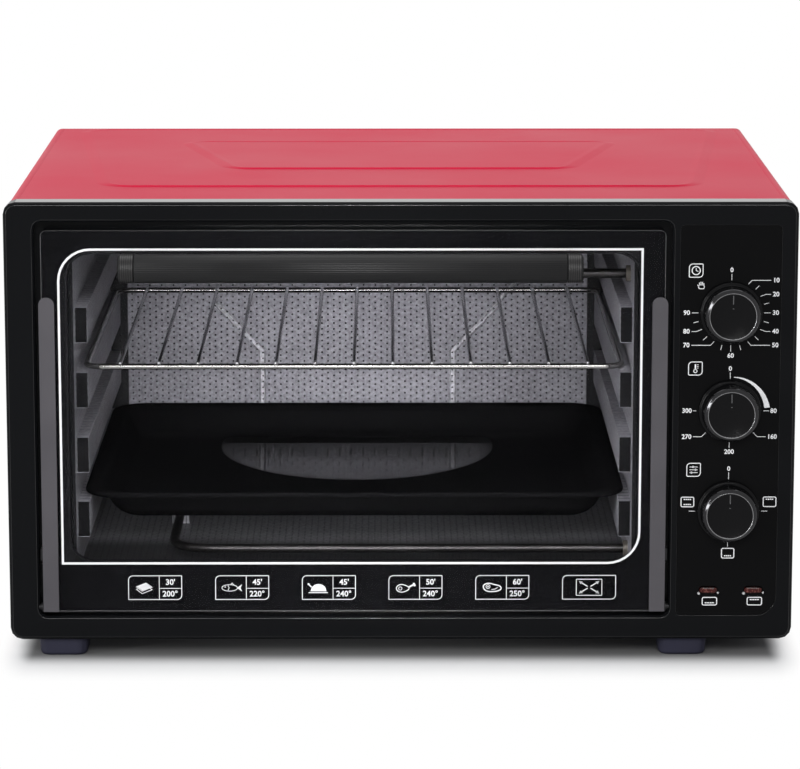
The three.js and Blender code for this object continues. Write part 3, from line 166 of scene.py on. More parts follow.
def place_lamp(name, kind, place, target, watts, **settings):
    """A lamp at a place, turned towards a target."""
    data = bpy.data.lights.new(name, kind)
    data.energy = watts
    for label, setting in settings.items():
        setattr(data, label, setting)
    lamp = bpy.data.objects.new(name, data)
    lamp.location = place
    lamp.rotation_euler = (Vector(target) - Vector(place)).to_track_quat("-Z", "Y").to_euler()
    scene.collection.objects.link(lamp)


for name, place, target, watts, wide, tall in (
    ("lamp_above", (0.0, 0.35, 2.1), (0.0, 0.0, 0.2), 27.0, 2.4, 1.4),
    ("lamp_left", (-2.2, -1.4, 0.8), (-0.1, -0.1, 0.2), 30.0, 0.18, 1.6),
    ("lamp_front", (0.1, -2.9, 1.5), (0.0, 0.0, 0.15), 40.0, 1.6, 0.8),
):
    place_lamp(name, "AREA", place, target, watts, shape="RECTANGLE", size=wide, size_y=tall)

# A narrow lamp in front throws its light through the window onto the back of the cavity.
place_lamp(
    "lamp_window", "SPOT", (-0.03, -2.6, 0.62), (-0.040, 0.18, 0.096), 140.0,
    spot_size=math.radians(9.6), spot_blend=1.0, shadow_soft_size=0.12,
)

# Feet: four short blocks moulded in dark blue-grey rubber, with softened edges, pressed up
# against the base.
def effect_group(name, inputs, outputs=("Shade", "Roughness", "Normal")):
    """A new effect; an input set to None is a place, and every other one a number."""
    group = bpy.data.node_groups.new(name, "ShaderNodeTree")
    for label, value in inputs.items():
        kind = "NodeSocketVector" if value is None else "NodeSocketFloat"
        socket = group.interface.new_socket(label, in_out="INPUT", socket_type=kind)
        if value is not None:
            socket.default_value = value
    for label in outputs:
        kind = "NodeSocketVector" if label == "Normal" else "NodeSocketFloat"
        group.interface.new_socket(label, in_out="OUTPUT", socket_type=kind)
    return group, group.nodes.new("NodeGroupInput").outputs


def raised(tree, height, depth):
    return add_node(tree, "Bump", {"Height": height, "Distance": depth})


def close_effect(group, start, shade, low, high, height):
    """End an effect whose shade, from low to high, also takes the roughness from Smooth to Rough."""
    roughness = ramp(group, shade, low, high, start["Smooth"], start["Rough"], "LINEAR")
    results = {"Shade": shade, "Roughness": roughness, "Normal": raised(group, height, start["Depth"])}
    feed(group, group.nodes.new("NodeGroupOutput"), results)
    return group


def moulded_grain_group():
    """A fine pebbled bump, under a slower drift of shade and roughness."""
    values = {"Scale": 900.0, "Depth": 0.00002, "Smooth": 0.3, "Rough": 0.5}
    group, start = effect_group("moulded_grain", values)
    place = object_place(group)
    drift_scale = reckon(group, "MULTIPLY", start["Scale"], 0.03)
    fine = add_node(group, "TexNoise", {"Vector": place, "Scale": start["Scale"], "Detail": 3.0})
    drift = add_node(group, "TexNoise", {"Vector": place, "Scale": drift_scale, "Detail": 4.0})
    return close_effect(group, start, drift, 0.35, 0.65, fine)


moulded_grain = moulded_grain_group()


def finish(name, metallic=0.0, level=0.5):
    """A new material, with its nodes and its shader."""
    made = bpy.data.materials.new(name)
    made.use_nodes = True
    shader = made.node_tree.nodes["Principled BSDF"]
    feed(made.node_tree, shader, {"Metallic": metallic, "Specular IOR Level": level})
    return made, made.node_tree, shader


def effect(tree, group, **values):
    """An effect placed in a material, given as its outputs."""
    return add_node(tree, "Group", values, node_tree=group).node.outputs


def dress(tree, shader, colour, surface):
    """Colour a material, and take its roughness and bump from an effect's outputs."""
    inputs = {"Base Color": colour, "Roughness": surface["Roughness"], "Normal": surface["Normal"]}
    feed(tree, shader, inputs)


def textured(name, group, dark, light, scale, depth, smooth, rough, **kind):
    """A material that is all of one effect, between a dark and a light shade."""
    made, tree, shader = finish(name, **kind)
    surface = effect(tree, group, Scale=scale, Depth=depth, Smooth=smooth, Rough=rough)
    dress(tree, shader, mix_colours(tree, surface["Shade"], dark, light), surface)
    return made


def riding(name, data, body):
    """Put a piece in the scene, on the body that carries it."""
    piece = bpy.data.objects.new(name, data)
    scene.collection.objects.link(piece)
    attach(piece, body)
    return piece


def mesh_piece(name, points, faces, material, body, smooth_angle=35.0):
    mesh = bpy.data.meshes.new(name)
    mesh.from_pydata([tuple(p) for p in points], [], faces)
    mesh.validate()
    mesh.polygons.foreach_set("use_smooth", [True] * len(mesh.polygons))
    mesh.set_sharp_from_angle(angle=math.radians(smooth_angle))
    mesh.materials.append(material)
    return riding(name, mesh, body)


def points_and_faces(work):
    """What a working mesh holds, before it is let go."""
    work.verts.index_update()
    points = [v.co.copy() for v in work.verts]
    faces = [[v.index for v in f.verts] for f in work.faces]
    work.free()
    return points, faces


def keep_flats_flat(piece):
    piece.modifiers.new("flat_faces", "WEIGHTED_NORMAL").keep_sharp = True


flat_angle = math.radians(0.6)
weld_distance = 2e-6


def flat_regions(work):
    """Touching faces that lie in one plane, region by region."""
    regions, found = [], set()
    for first in work.faces:
        if first in found:
            continue
        found.add(first)
        region = [first]
        for face in region:
            for edge in face.edges:
                if len(edge.link_faces) != 2 or edge.calc_face_angle(math.pi) > flat_angle:
                    continue
                for other in edge.link_faces:
                    if other not in found:
                        found.add(other)
                        region.append(other)
        regions.append(region)
    return regions


def lies_inside(spot, corners, rim):
    """Whether a line from the spot crosses the rim an odd number of times."""
    crossings = 0
    for start, end in rim:
        a, b = corners[start], corners[end]
        if (a.y > spot.y) != (b.y > spot.y):
            crossings += a.x + (spot.y - a.y) / (b.y - a.y) * (b.x - a.x) > spot.x
    return crossings % 2 == 1


def fill_evenly(work):
    """Fill each flat region again from its border, holes and all, so that no face is a sliver."""
    for region in flat_regions(work):
        if len(region) == 1 and len(region[0].verts) < 5:
            continue
        inside = set(region)
        slope = sum((face.normal * face.calc_area() for face in region), Vector()).normalized()
        turn = slope.to_track_quat("Z", "Y").to_matrix().inverted()
        border = [e for face in region for e in face.edges if sum(f in inside for f in e.link_faces) == 1]
        verts = list(dict.fromkeys(v for e in border for v in e.verts))
        place = {v: n for n, v in enumerate(verts)}
        corners = [(turn @ v.co).xy for v in verts]
        rim = [(place[e.verts[0]], place[e.verts[1]]) for e in border]
        filled = delaunay_2d_cdt(corners, rim, [], 0, 1e-7)
        if len(filled[0]) != len(corners):
            continue
        bmesh.ops.delete(work, geom=region, context="FACES")
        for face in filled[2]:
            ends = [filled[3][n][0] for n in face]
            spot = sum((corners[n] for n in ends), Vector((0.0, 0.0))) / len(face)
            if lies_inside(spot, corners, rim):
                work.faces.new([verts[n] for n in ends])


def refined(node, material, body, edge, limit, steps=2, edge_material=None):
    """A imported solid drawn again: its flats filled evenly, and its edges over limit degrees rounded."""
    work = bmesh.new()
    work.from_mesh(solids[node].data)
    bmesh.ops.remove_doubles(work, verts=work.verts, dist=weld_distance)
    bmesh.ops.dissolve_limit(work, angle_limit=flat_angle, verts=work.verts, edges=work.edges)
    work.normal_update()
    fill_evenly(work)
    piece = mesh_piece(f"{node}_made", *points_and_faces(work), material, body, 180.0)
    soft = piece.modifiers.new("softened_edges", "BEVEL")
    soft.width = edge
    soft.segments = steps
    soft.limit_method = "ANGLE"
    soft.angle_limit = math.radians(limit)
    soft.loop_slide = False
    if edge_material:
        piece.data.materials.append(edge_material)
        soft.material = 1
    keep_flats_flat(piece)
    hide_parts(node)
    return piece


foot_rubber = textured(
    "foot_rubber", moulded_grain, (0.022, 0.022, 0.036), (0.034, 0.034, 0.056),
    scale=1400.0, depth=0.00006, smooth=0.55, rough=0.75, level=0.15,
)
for corner in ("front_left", "front_right", "rear_left", "rear_right"):
    foot = refined(f"foot_{corner}", foot_rubber, "housing", edge=0.0008, limit=20.0, steps=3)

# Base plate, heat shield and front frame: steel sheet, cut and folded, which carries the liner,
# the controls and the springs. The frame shows round the cavity's mouth and is enamelled black.
def zinc_spangle_group():
    """Flat zinc crystals, each with a shade, a gloss and a tilt of its own."""
    values = {"Scale": 90.0, "Depth": 0.00001, "Smooth": 0.32, "Rough": 0.52}
    group, start = effect_group("zinc_spangle", values)
    place = object_place(group)
    warp = add_node(group, "TexNoise", {"Vector": place, "Scale": 60.0}, "Color")
    uneven = add_node(group, "Mix", {"Factor": 0.02, 4: place, 5: warp}, 1, data_type="VECTOR")
    crystals = add_node(group, "TexVoronoi", {"Vector": uneven, "Scale": start["Scale"]}, "Color")
    split = add_node(group, "SeparateColor", {"Color": crystals}).node.outputs
    return close_effect(group, start, split["Red"], 0.0, 1.0, split["Green"])


zinc_spangle = zinc_spangle_group()
zinc_sheet = textured(
    "zinc_sheet", zinc_spangle, (0.46, 0.47, 0.49), (0.55, 0.56, 0.58),
    scale=150.0, depth=0.00001, smooth=0.34, rough=0.44, metallic=1.0,
)
for node in ("base_plate", "heat_shield"):
    sheet = refined(node, zinc_sheet, "housing", edge=0.0002, limit=40.0)

black_enamel = textured(
    "black_enamel", moulded_grain, (0.006, 0.006, 0.007), (0.011, 0.011, 0.012),
    scale=500.0, depth=0.00001, smooth=0.3, rough=0.45, level=0.08,
)
sheet = refined("front_frame", black_enamel, "housing", edge=0.0002, limit=40.0)

# Rear panel and its screws: a shallow pressed pan of the same zinc-coated sheet with rows of
# vent slots, held by four pan-head screws.
rear = refined("rear_panel", zinc_sheet, "housing", edge=0.00035, limit=40.0)


def turning_lines_group():
    """Fine lines left by a lathe tool, side by side along the Y axis."""
    values = {"Scale": 2500.0, "Depth": 0.000004, "Smooth": 0.2, "Rough": 0.35}
    group, start = effect_group("turning_lines", values)
    drawn_out = add_node(group, "Mapping", {"Vector": object_place(group), "Scale": (0.08, 1.0, 0.08)})
    lines = add_node(group, "TexNoise", {"Vector": drawn_out, "Scale": start["Scale"], "Detail": 2.0})
    return close_effect(group, start, lines, 0.0, 1.0, lines)


turning_lines = turning_lines_group()
bright_steel = textured(
    "bright_steel", turning_lines, (0.46, 0.46, 0.47), (0.66, 0.66, 0.67),
    scale=2500.0, depth=0.000004, smooth=0.18, rough=0.36, metallic=1.0,
)


def ring_faces(first, second, count):
    """The faces between two rings of count points, given where each ring starts."""
    around = [(n, (n + 1) % count) for n in range(count)]
    return [(first + n, first + m, second + m, second + n) for n, m in around]


def turned_piece(name, profile, x, z, sides, material, body, across=False, smooth_angle=35.0):
    """A lathe form: (radius, place) pairs about an axis along Y, or along X at y = x."""
    work = bmesh.new()
    for radius, place in profile:
        for n in range(sides):
            angle = 2.0 * math.pi * n / sides
            a, b = radius * math.cos(angle), radius * math.sin(angle)
            work.verts.new((place, x + a, z + b) if across else (x + a, place, z + b))
    verts = list(work.verts)
    for row in range(len(profile) - 1):
        for face in ring_faces(row * sides, (row + 1) * sides, sides):
            work.faces.new([verts[n] for n in face])
    bmesh.ops.remove_doubles(work, verts=work.verts, dist=1e-6)
    bmesh.ops.recalc_face_normals(work, faces=work.faces)
    return mesh_piece(name, *points_and_faces(work), material, body, smooth_angle)


shank_radius, screw_point, head_height = 0.0018, 0.0015, 0.0022

for side in ("left", "right"):
    for level in ("lower", "upper"):
        node = f"rear_screw_{level}_{side}"
        low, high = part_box(node)
        radius = (high.x - low.x) / 2
        back, seat, tip = high.y, high.y - head_height, low.y
        profile = [
            (0.0, tip), (shank_radius / 2, tip), (shank_radius, tip + screw_point), (shank_radius, seat),
            (radius - 0.0002, seat), (radius, seat + 0.0003), (radius * 0.94, back - 0.0008),
            (radius * 0.7, back - 0.0002), (radius * 0.42, back), (radius * 0.36, back - 0.0008),
            (0.0, back - 0.0012),
        ]
        middle = (low + high) / 2
        screw = turned_piece(f"{node}_made", profile, middle.x, middle.z, 24, bright_steel, "housing")
        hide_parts(node)

# Cable gland: a black moulded bush with a ribbed flange, snapped into the rear panel.
black_plastic = textured(
    "black_plastic", moulded_grain, (0.006, 0.006, 0.0062), (0.011, 0.011, 0.0115),
    scale=1600.0, depth=0.00003, smooth=0.42, rough=0.6, level=0.15,
)
gland = refined("cable_gland", black_plastic, "housing", edge=0.0004, limit=40.0)

# Outer cover: one steel sheet folded over the top and both sides, with two nested raised
# fields pressed into the top and vents at the right, powder-coated in a glossy red.
cover_low, cover_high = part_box("outer_cover")
cover_half = cover_high.x
cover_front, cover_back = cover_low.y, cover_high.y
cover_bottom = cover_low.z
cover_corner, cover_sheet = 0.005, 0.001
corner_steps = 8
flat_half = cover_half - cover_corner - 0.002
emboss_rise, emboss_lip = 0.00062, 0.00022
emboss_slope, emboss_side_slope = 0.0012, 0.009
cover_top = cover_high.z - 2 * emboss_rise - emboss_lip
# Each field's front, back, half widths at the front and at the back, and corner radius.
fields = [
    (cover_front + 0.0695, cover_back - 0.010, 0.200, 0.236, 0.020),
    (cover_front + 0.1540, cover_back - 0.086, 0.118, 0.157, 0.014),
]
# The fold up to a field, as shares of its slope and of its rise, with a low lip on the top.
lip_share = 1.0 + emboss_lip / emboss_rise
fold_shares = (
    (0.5, 0.0), (0.4, 0.06), (0.25, 0.3), (0.0, 0.75), (-0.2, 1.05), (-0.35, lip_share), (-0.5, lip_share),
    (-0.7, 1.15), (-0.9, 1.02), (-1.05, 1.0),
)
vent_long, vent_high = 0.026, 0.003
vents_y = [cover_front + 0.1737 + column * 0.034 for column in range(2)]
vents_z = [cover_bottom + 0.150 + row * 0.009 for row in range(7)]


def bend(corners, n, reach, steps=10):
    """Points round one corner of a chain, from reach before it to reach after it."""
    corner = corners[n]
    before = (corners[n - 1] - corner).normalized() * reach + corner
    after = (corners[(n + 1) % len(corners)] - corner).normalized() * reach + corner
    shares = [step / steps for step in range(steps + 1)]
    return [before * (1 - t) ** 2 + corner * 2 * t * (1 - t) + after * t ** 2 for t in shares]


def arc(x, y, radius, begin, end, steps, up=None):
    """Points along a circle, or an ellipse that reaches up, from one angle to another."""
    turns = [math.radians(begin + (end - begin) * step / steps) for step in range(steps + 1)]
    return [(x + radius * math.cos(turn), y + (up or radius) * math.sin(turn)) for turn in turns]


def tapered_outline(front, back, front_half, back_half, radius, grow, side_grow):
    """A rounded trapezoid in plan, pushed outwards by grow."""
    corners = [
        Vector((-front_half - side_grow, front - grow)), Vector((front_half + side_grow, front - grow)),
        Vector((back_half + side_grow, back + grow)), Vector((-back_half - side_grow, back + grow)),
    ]
    reach = max(radius + grow, 0.0001)
    return [point for n in range(4) for point in bend(corners, n, reach)]


def cover_shell():
    points, faces = [], []

    def add_ring(outline, z):
        points.extend((p.x, p.y, z) for p in outline)
        return len(points) - len(outline)

    edge = tapered_outline(cover_front, cover_back, flat_half, flat_half, 0.00005, 0.0, 0.0)
    count = len(edge)
    last = add_ring(edge, cover_top)
    level = cover_top
    for field in fields:
        for reach, share in fold_shares:
            outline = tapered_outline(*field, emboss_slope * reach, emboss_side_slope * reach)
            ring = add_ring(outline, level + share * emboss_rise)
            faces.extend(ring_faces(last, ring, count))
            last = ring
        level += emboss_rise
    faces.append(tuple(range(last, last + count)))
    rounded = arc(cover_half - cover_corner, cover_top - cover_corner, cover_corner, 90, 0, corner_steps)
    for side in (-1, 1):
        stations, levels = [cover_front, cover_back], [cover_bottom]
        if side > 0:
            stations += [y + end for y in vents_y for end in (0.0, vent_long)]
            levels += [z + end for z in vents_z for end in (0.0, vent_high)]
        stations.sort()
        levels.sort(reverse=True)
        profile = [(flat_half, cover_top), *rounded, *((cover_half, z) for z in levels)]
        start, wide = len(points), len(stations)
        for x, z in profile:
            points.extend((side * x, y, z) for y in stations)
        for row in range(len(profile) - 1):
            for column in range(wide - 1):
                y = (stations[column] + stations[column + 1]) / 2
                z = (profile[row][1] + profile[row + 1][1]) / 2
                in_column = any(vent < y < vent + vent_long for vent in vents_y)
                in_row = any(vent < z < vent + vent_high for vent in vents_z)
                if side > 0 and in_column and in_row:
                    continue
                a = start + row * wide + column
                face = (a, a + 1, a + wide + 1, a + wide)
                faces.append(face if side < 0 else face[::-1])
    return points, faces


def powder_coat_group():
    """The slight orange peel of a baked coat, under a slow drift of shade and roughness."""
    values = {"Scale": 700.0, "Depth": 0.00002, "Smooth": 0.2, "Rough": 0.3}
    group, start = effect_group("powder_coat", values)
    place = object_place(group)
    peel = add_node(group, "TexVoronoi", {"Vector": place, "Scale": start["Scale"]}, feature="SMOOTH_F1")
    drift = add_node(group, "TexNoise", {"Vector": place, "Scale": 9.0, "Detail": 3.0})
    return close_effect(group, start, drift, 0.3, 0.7, peel)


powder_coat = powder_coat_group()
red_paint = textured(
    "red_paint", powder_coat, (0.46, 0.007, 0.036), (0.50, 0.009, 0.042),
    scale=650.0, depth=0.000012, smooth=0.33, rough=0.39, level=0.03,
)
cover = mesh_piece("cover_sheet", *cover_shell(), red_paint, "housing", 60.0)
thick = cover.modifiers.new("sheet_thickness", "SOLIDIFY")
thick.thickness = cover_sheet
thick.offset = -1.0
keep_flats_flat(cover)
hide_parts("outer_cover")

# Cavity liner: five aluminised steel sheets with fine dimples pressed in staggered rows. The
# sides carry four pressed shelf ribs each and the back two pressed beads.
dimple_pitch, dimple_rise = 0.0089, 0.00445
dimple_size, dimple_depth = 0.00050, 0.0003
# Painted shade in the back corners: how far in from each side edge the darkening starts, and how wide its
# fade is.
corner_shade_inset, corner_shade_fade = 0.0132, 0.0010
# Painted shade: the floor's colour darkens towards the door, fully in front of the second place and not at
# all behind the first, down to the given share.
front_shade_start, front_shade_full, front_shade_share = -0.045, -0.085, 0.13
liner_thick, bead_start = 0.001, 0.0003
rib_mouth = (0.008, 0.0135)
rib_mouth_area, rib_wall, rib_mouth_depth = 0.00010, 0.0003, 0.0006


def pressed_dimples_group():
    """Rows of round dimples, every second row staggered, in a stained sheet."""
    group, start = effect_group(
        "pressed_dimples", {"Place": None, "Across": 0.0089, "Up": 0.00445, "Size": 0.0006, "Depth": 0.0004},
        ("Dimple", "Stain", "Roughness", "Normal"),
    )
    pitch = add_node(group, "CombineXYZ", {"X": start["Across"], "Y": start["Up"], "Z": 1.0})
    scaled = reckon_vector(group, "DIVIDE", start["Place"], pitch)
    distances = []
    for offset in (0.0, 0.5):
        moved = reckon_vector(group, "ADD", scaled, (offset, offset, 0.0))
        cell = reckon_vector(group, "SUBTRACT", reckon_vector(group, "FRACTION", moved), (0.5, 0.5, 0.0))
        distances.append(reckon_vector(group, "LENGTH", reckon_vector(group, "MULTIPLY", cell, pitch)))
    nearest = reckon(group, "MINIMUM", *distances)
    dot = ramp(group, nearest, start["Size"], reckon(group, "MULTIPLY", start["Size"], 1.6), 1.0, 0.0)
    place = object_place(group)
    stains = add_node(group, "TexNoise", {"Vector": place, "Scale": 14.0, "Detail": 5.0})
    specks = add_node(group, "TexNoise", {"Vector": place, "Scale": 420.0, "Detail": 2.0})
    mottle = add_node(group, "Mix", {"Factor": 0.6, 2: stains, 3: specks})
    results = {
        "Dimple": dot,
        "Stain": ramp(group, mottle, 0.36, 0.64, shape="LINEAR"),
        "Roughness": ramp(group, stains, 0.0, 1.0, 0.34, 0.6, "LINEAR"),
        "Normal": raised(group, reckon(group, "SUBTRACT", 1.0, dot), start["Depth"]),
    }
    feed(group, group.nodes.new("NodeGroupOutput"), results)
    return group


pressed_dimples = pressed_dimples_group()


def off_middle(tree, value, middle):
    """How far a place lies to either side of a middle."""
    return reckon(tree, "ABSOLUTE", reckon(tree, "SUBTRACT", value, middle))


def liner_finish(name, across, up, dark, light, corner_shade=None, shaded_front=False):
    """Dimpled sheet whose rows run across and up, with painted shade along both side edges or towards the
    front if asked.
    """
    made, tree, shader = finish(name, metallic=0.4, level=0.3)
    split = add_node(tree, "SeparateXYZ", {"Vector": object_place(tree)}).node.outputs
    flat = add_node(tree, "CombineXYZ", {"X": split[across], "Y": split[up]})
    dimples = effect(
        tree, pressed_dimples, Place=flat, Across=dimple_pitch, Up=dimple_rise, Size=dimple_size,
        Depth=dimple_depth,
    )
    colour = mix_colours(tree, dimples["Stain"], dark, light)
    # Painted shade: each dimple's hollow is coloured near black.
    colour = mix_colours(tree, dimples["Dimple"], colour, (0.006, 0.006, 0.0065))
    # Painted shade: the colour darkens to near black along both side edges, where the sheet meets the side
    # walls.
    if corner_shade:
        middle, half = corner_shade
        edge = half - corner_shade_inset
        near = ramp(tree, off_middle(tree, split[across], middle), edge, edge + corner_shade_fade)
        colour = mix_colours(tree, near, colour, (0.012, 0.012, 0.013))
    if shaded_front:
        # Painted shade: the floor's colour is darkened towards the door.
        front_shade_factor = ramp(tree, split["Y"], front_shade_full, front_shade_start, front_shade_share)
        colour = mix_colours(tree, 1.0, colour, front_shade_factor, "MULTIPLY")
    dress(tree, shader, colour, dimples)
    return made


back_low, back_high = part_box("cavity_back")
# The back sheet's middle and half width, which place its painted corner shade.
corner_shade = ((back_low.x + back_high.x) / 2, (back_high.x - back_low.x) / 2 - liner_thick)
# The three finishes are one metal, but the side and floor sheets are given lighter shades than the back: a
# painted difference in the light that falls on them.
liner_back = liner_finish("liner_back", "X", "Z", (0.19, 0.185, 0.20), (0.37, 0.365, 0.39), corner_shade)
liner_side = liner_finish("liner_side", "Y", "Z", (0.24, 0.235, 0.25), (0.46, 0.455, 0.48))
liner_flat = liner_finish("liner_flat", "X", "Y", (0.30, 0.30, 0.31), (0.56, 0.56, 0.58), shaded_front=True)
# Painted highlight: the pressed beads get a much lighter copy of the back's finish.
bead_highlight = liner_finish("bead_highlight", "X", "Z", (0.34, 0.335, 0.35), (0.80, 0.79, 0.82))
# Painted shade: a near-black finish for the shallow insides of the rib mouths.
rib_shade = textured(
    "rib_shade", moulded_grain, (0.004, 0.004, 0.0045), (0.008, 0.008, 0.0085),
    scale=300.0, depth=0.00001, smooth=0.6, rough=0.8, level=0.05,
)
for node, material in (
    ("cavity_floor", liner_flat), ("cavity_ceiling", liner_flat), ("cavity_side_left", liner_side),
    ("cavity_side_right", liner_side), ("cavity_back", liner_back),
):
    sheet = refined(node, material, "housing", edge=0.0003, limit=40.0)
    if node == "cavity_back":
        sheet.data.materials.append(bead_highlight)
        plane = max(v.co.y for v in sheet.data.vertices) - liner_thick
        for polygon in sheet.data.polygons:
            if polygon.center.y < plane - bead_start:
                polygon.material_index = 1
    if node.startswith("cavity_side"):
        # The near end of each rib is open, and its shallow inside is given a near-black finish as a painted
        # shade.
        sheet.data.materials.append(rib_shade)
        work = bmesh.new()
        work.from_mesh(sheet.data)
        near_edge = min(v.co.y for v in work.verts)
        ends = [
            f for f in work.faces
            if f.normal.y < -0.9 and rib_mouth[0] < f.calc_center_median().y - near_edge < rib_mouth[1]
            and f.calc_area() > rib_mouth_area
        ]
        bmesh.ops.inset_individual(work, faces=ends, thickness=rib_wall)
        for f in ends:
            f.material_index = 1
            bmesh.ops.translate(work, vec=(0.0, rib_mouth_depth, 0.0), verts=f.verts)
        work.to_mesh(sheet.data)
        work.free()

# Heaters: each is one steel-sheathed rod bent to a U, with both ends through the right wall,
# tinted by heat.
heater_radius, heater_bend, heater_inset = 0.00325, 0.030, 0.003


def path_piece(name, chains, radius, material, body, closed=False):
    """Round rods along chains of points."""
    data = bpy.data.curves.new(name, "CURVE")
    data.dimensions = "3D"
    data.bevel_depth = radius
    data.bevel_resolution = 4
    data.use_fill_caps = True
    for chain in chains:
        line = data.splines.new("POLY")
        line.points.add(len(chain) - 1)
        for point, place in zip(line.points, chain):
            point.co = (*place, 1.0)
        line.use_cyclic_u = closed
        line.use_smooth = True
    data.materials.append(material)
    return riding(name, data, body)


heater_sheath = textured(
    "heater_sheath", turning_lines, (0.022, 0.021, 0.021), (0.060, 0.056, 0.055),
    scale=300.0, depth=0.00001, smooth=0.26, rough=0.45, metallic=0.9,
)
for level in ("bottom", "top"):
    low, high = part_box(f"{level}_heater")
    z = (low.z + high.z) / 2
    left, right = low.x + heater_radius, high.x
    near, far = low.y + heater_inset, high.y - heater_inset
    corners = [Vector((x, y, z)) for x, y in ((right, near), (left, near), (left, far), (right, far))]
    chain = [corners[0], *bend(corners, 1, heater_bend), *bend(corners, 2, heater_bend), corners[3]]
    rod = path_piece(f"{level}_heater_rod", [chain], heater_radius, heater_sheath, "housing")
    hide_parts(f"{level}_heater")

# Ceramic insulators and terminal block: fired steatite with a faint sandy grain, browned by
# the heat beside the elements.
ceramic = textured(
    "ceramic", moulded_grain, (0.085, 0.075, 0.062), (0.15, 0.135, 0.11),
    scale=1200.0, depth=0.00002, smooth=0.45, rough=0.6,
)
for node in (
    "bottom_insulator_front", "bottom_insulator_back", "top_insulator_front", "top_insulator_back",
    "terminal_block",
):
    bead = refined(node, ceramic, "housing", edge=0.0004, limit=40.0)

# Control bodies: a zinc-cased clockwork timer, a capillary thermostat and a rotary heater
# switch in brown phenolic, fixed behind the front frame.
phenolic = textured(
    "phenolic", moulded_grain, (0.045, 0.026, 0.018), (0.070, 0.042, 0.030),
    scale=900.0, depth=0.00002, smooth=0.35, rough=0.5,
)
timer = refined("timer_body", zinc_sheet, "housing", edge=0.0003, limit=40.0)
for node in ("thermostat_body", "function_switch_body"):
    control = refined(node, phenolic, "housing", edge=0.0004, limit=30.0)

# Timer bell and thermostat sensor: spun brass, and a thin capillary of copper browned by heat
# that ends in a bulb beside the right wall.
yellow_brass = textured(
    "yellow_brass", turning_lines, (0.50, 0.33, 0.12), (0.66, 0.47, 0.20),
    scale=1800.0, depth=0.000004, smooth=0.2, rough=0.38, metallic=1.0,
)
browned_copper = textured(
    "browned_copper", moulded_grain, (0.020, 0.012, 0.008), (0.045, 0.028, 0.018),
    scale=600.0, depth=0.00001, smooth=0.4, rough=0.6, metallic=0.5, level=0.2,
)
for node, material in (("timer_bell", yellow_brass), ("thermostat_sensor", browned_copper)):
    brass_piece = refined(node, material, "housing", edge=0.0002, limit=50.0)

# Moulded front: one glossy black moulding with softly rounded edges, a stepped recess for the
# door and a seat for the control plate. Its top edge catches the light.
def gloss_moulding(name, dark, light, smooth, rough, level):
    return textured(name, moulded_grain, dark, light, 240.0, 0.000003, smooth, rough, level=level)


black_moulding = gloss_moulding(
    "black_moulding", (0.0035, 0.0038, 0.0045), (0.005, 0.0053, 0.006), smooth=0.12, rough=0.2, level=0.05,
)
black_edge = gloss_moulding(
    "black_edge", (0.008, 0.007, 0.008), (0.010, 0.009, 0.010), smooth=0.07, rough=0.11, level=1.0,
)
bezel = refined(
    "front_bezel", black_moulding, "housing", edge=0.0006, limit=25.0, steps=3, edge_material=black_edge,
)
for polygon in bezel.data.polygons:
    if polygon.normal.z > 0.9 and polygon.center.z > cover_high.z:
        polygon.material_index = 1

# Control plate: a thin glossy plate let into the moulding, with white scales and signs
# printed on it.
plate_black = gloss_moulding(
    "plate_black", (0.0025, 0.0025, 0.0027), (0.0035, 0.0035, 0.0038), smooth=0.16, rough=0.26, level=0.04,
)
plate = refined("control_panel", plate_black, "housing", edge=0.0003, limit=30.0)

print_lift = 0.00006
white_print = textured(
    "white_print", moulded_grain, (0.76, 0.76, 0.77), (0.86, 0.86, 0.87),
    scale=1500.0, depth=0.000005, smooth=0.45, rough=0.6, level=0.3,
)


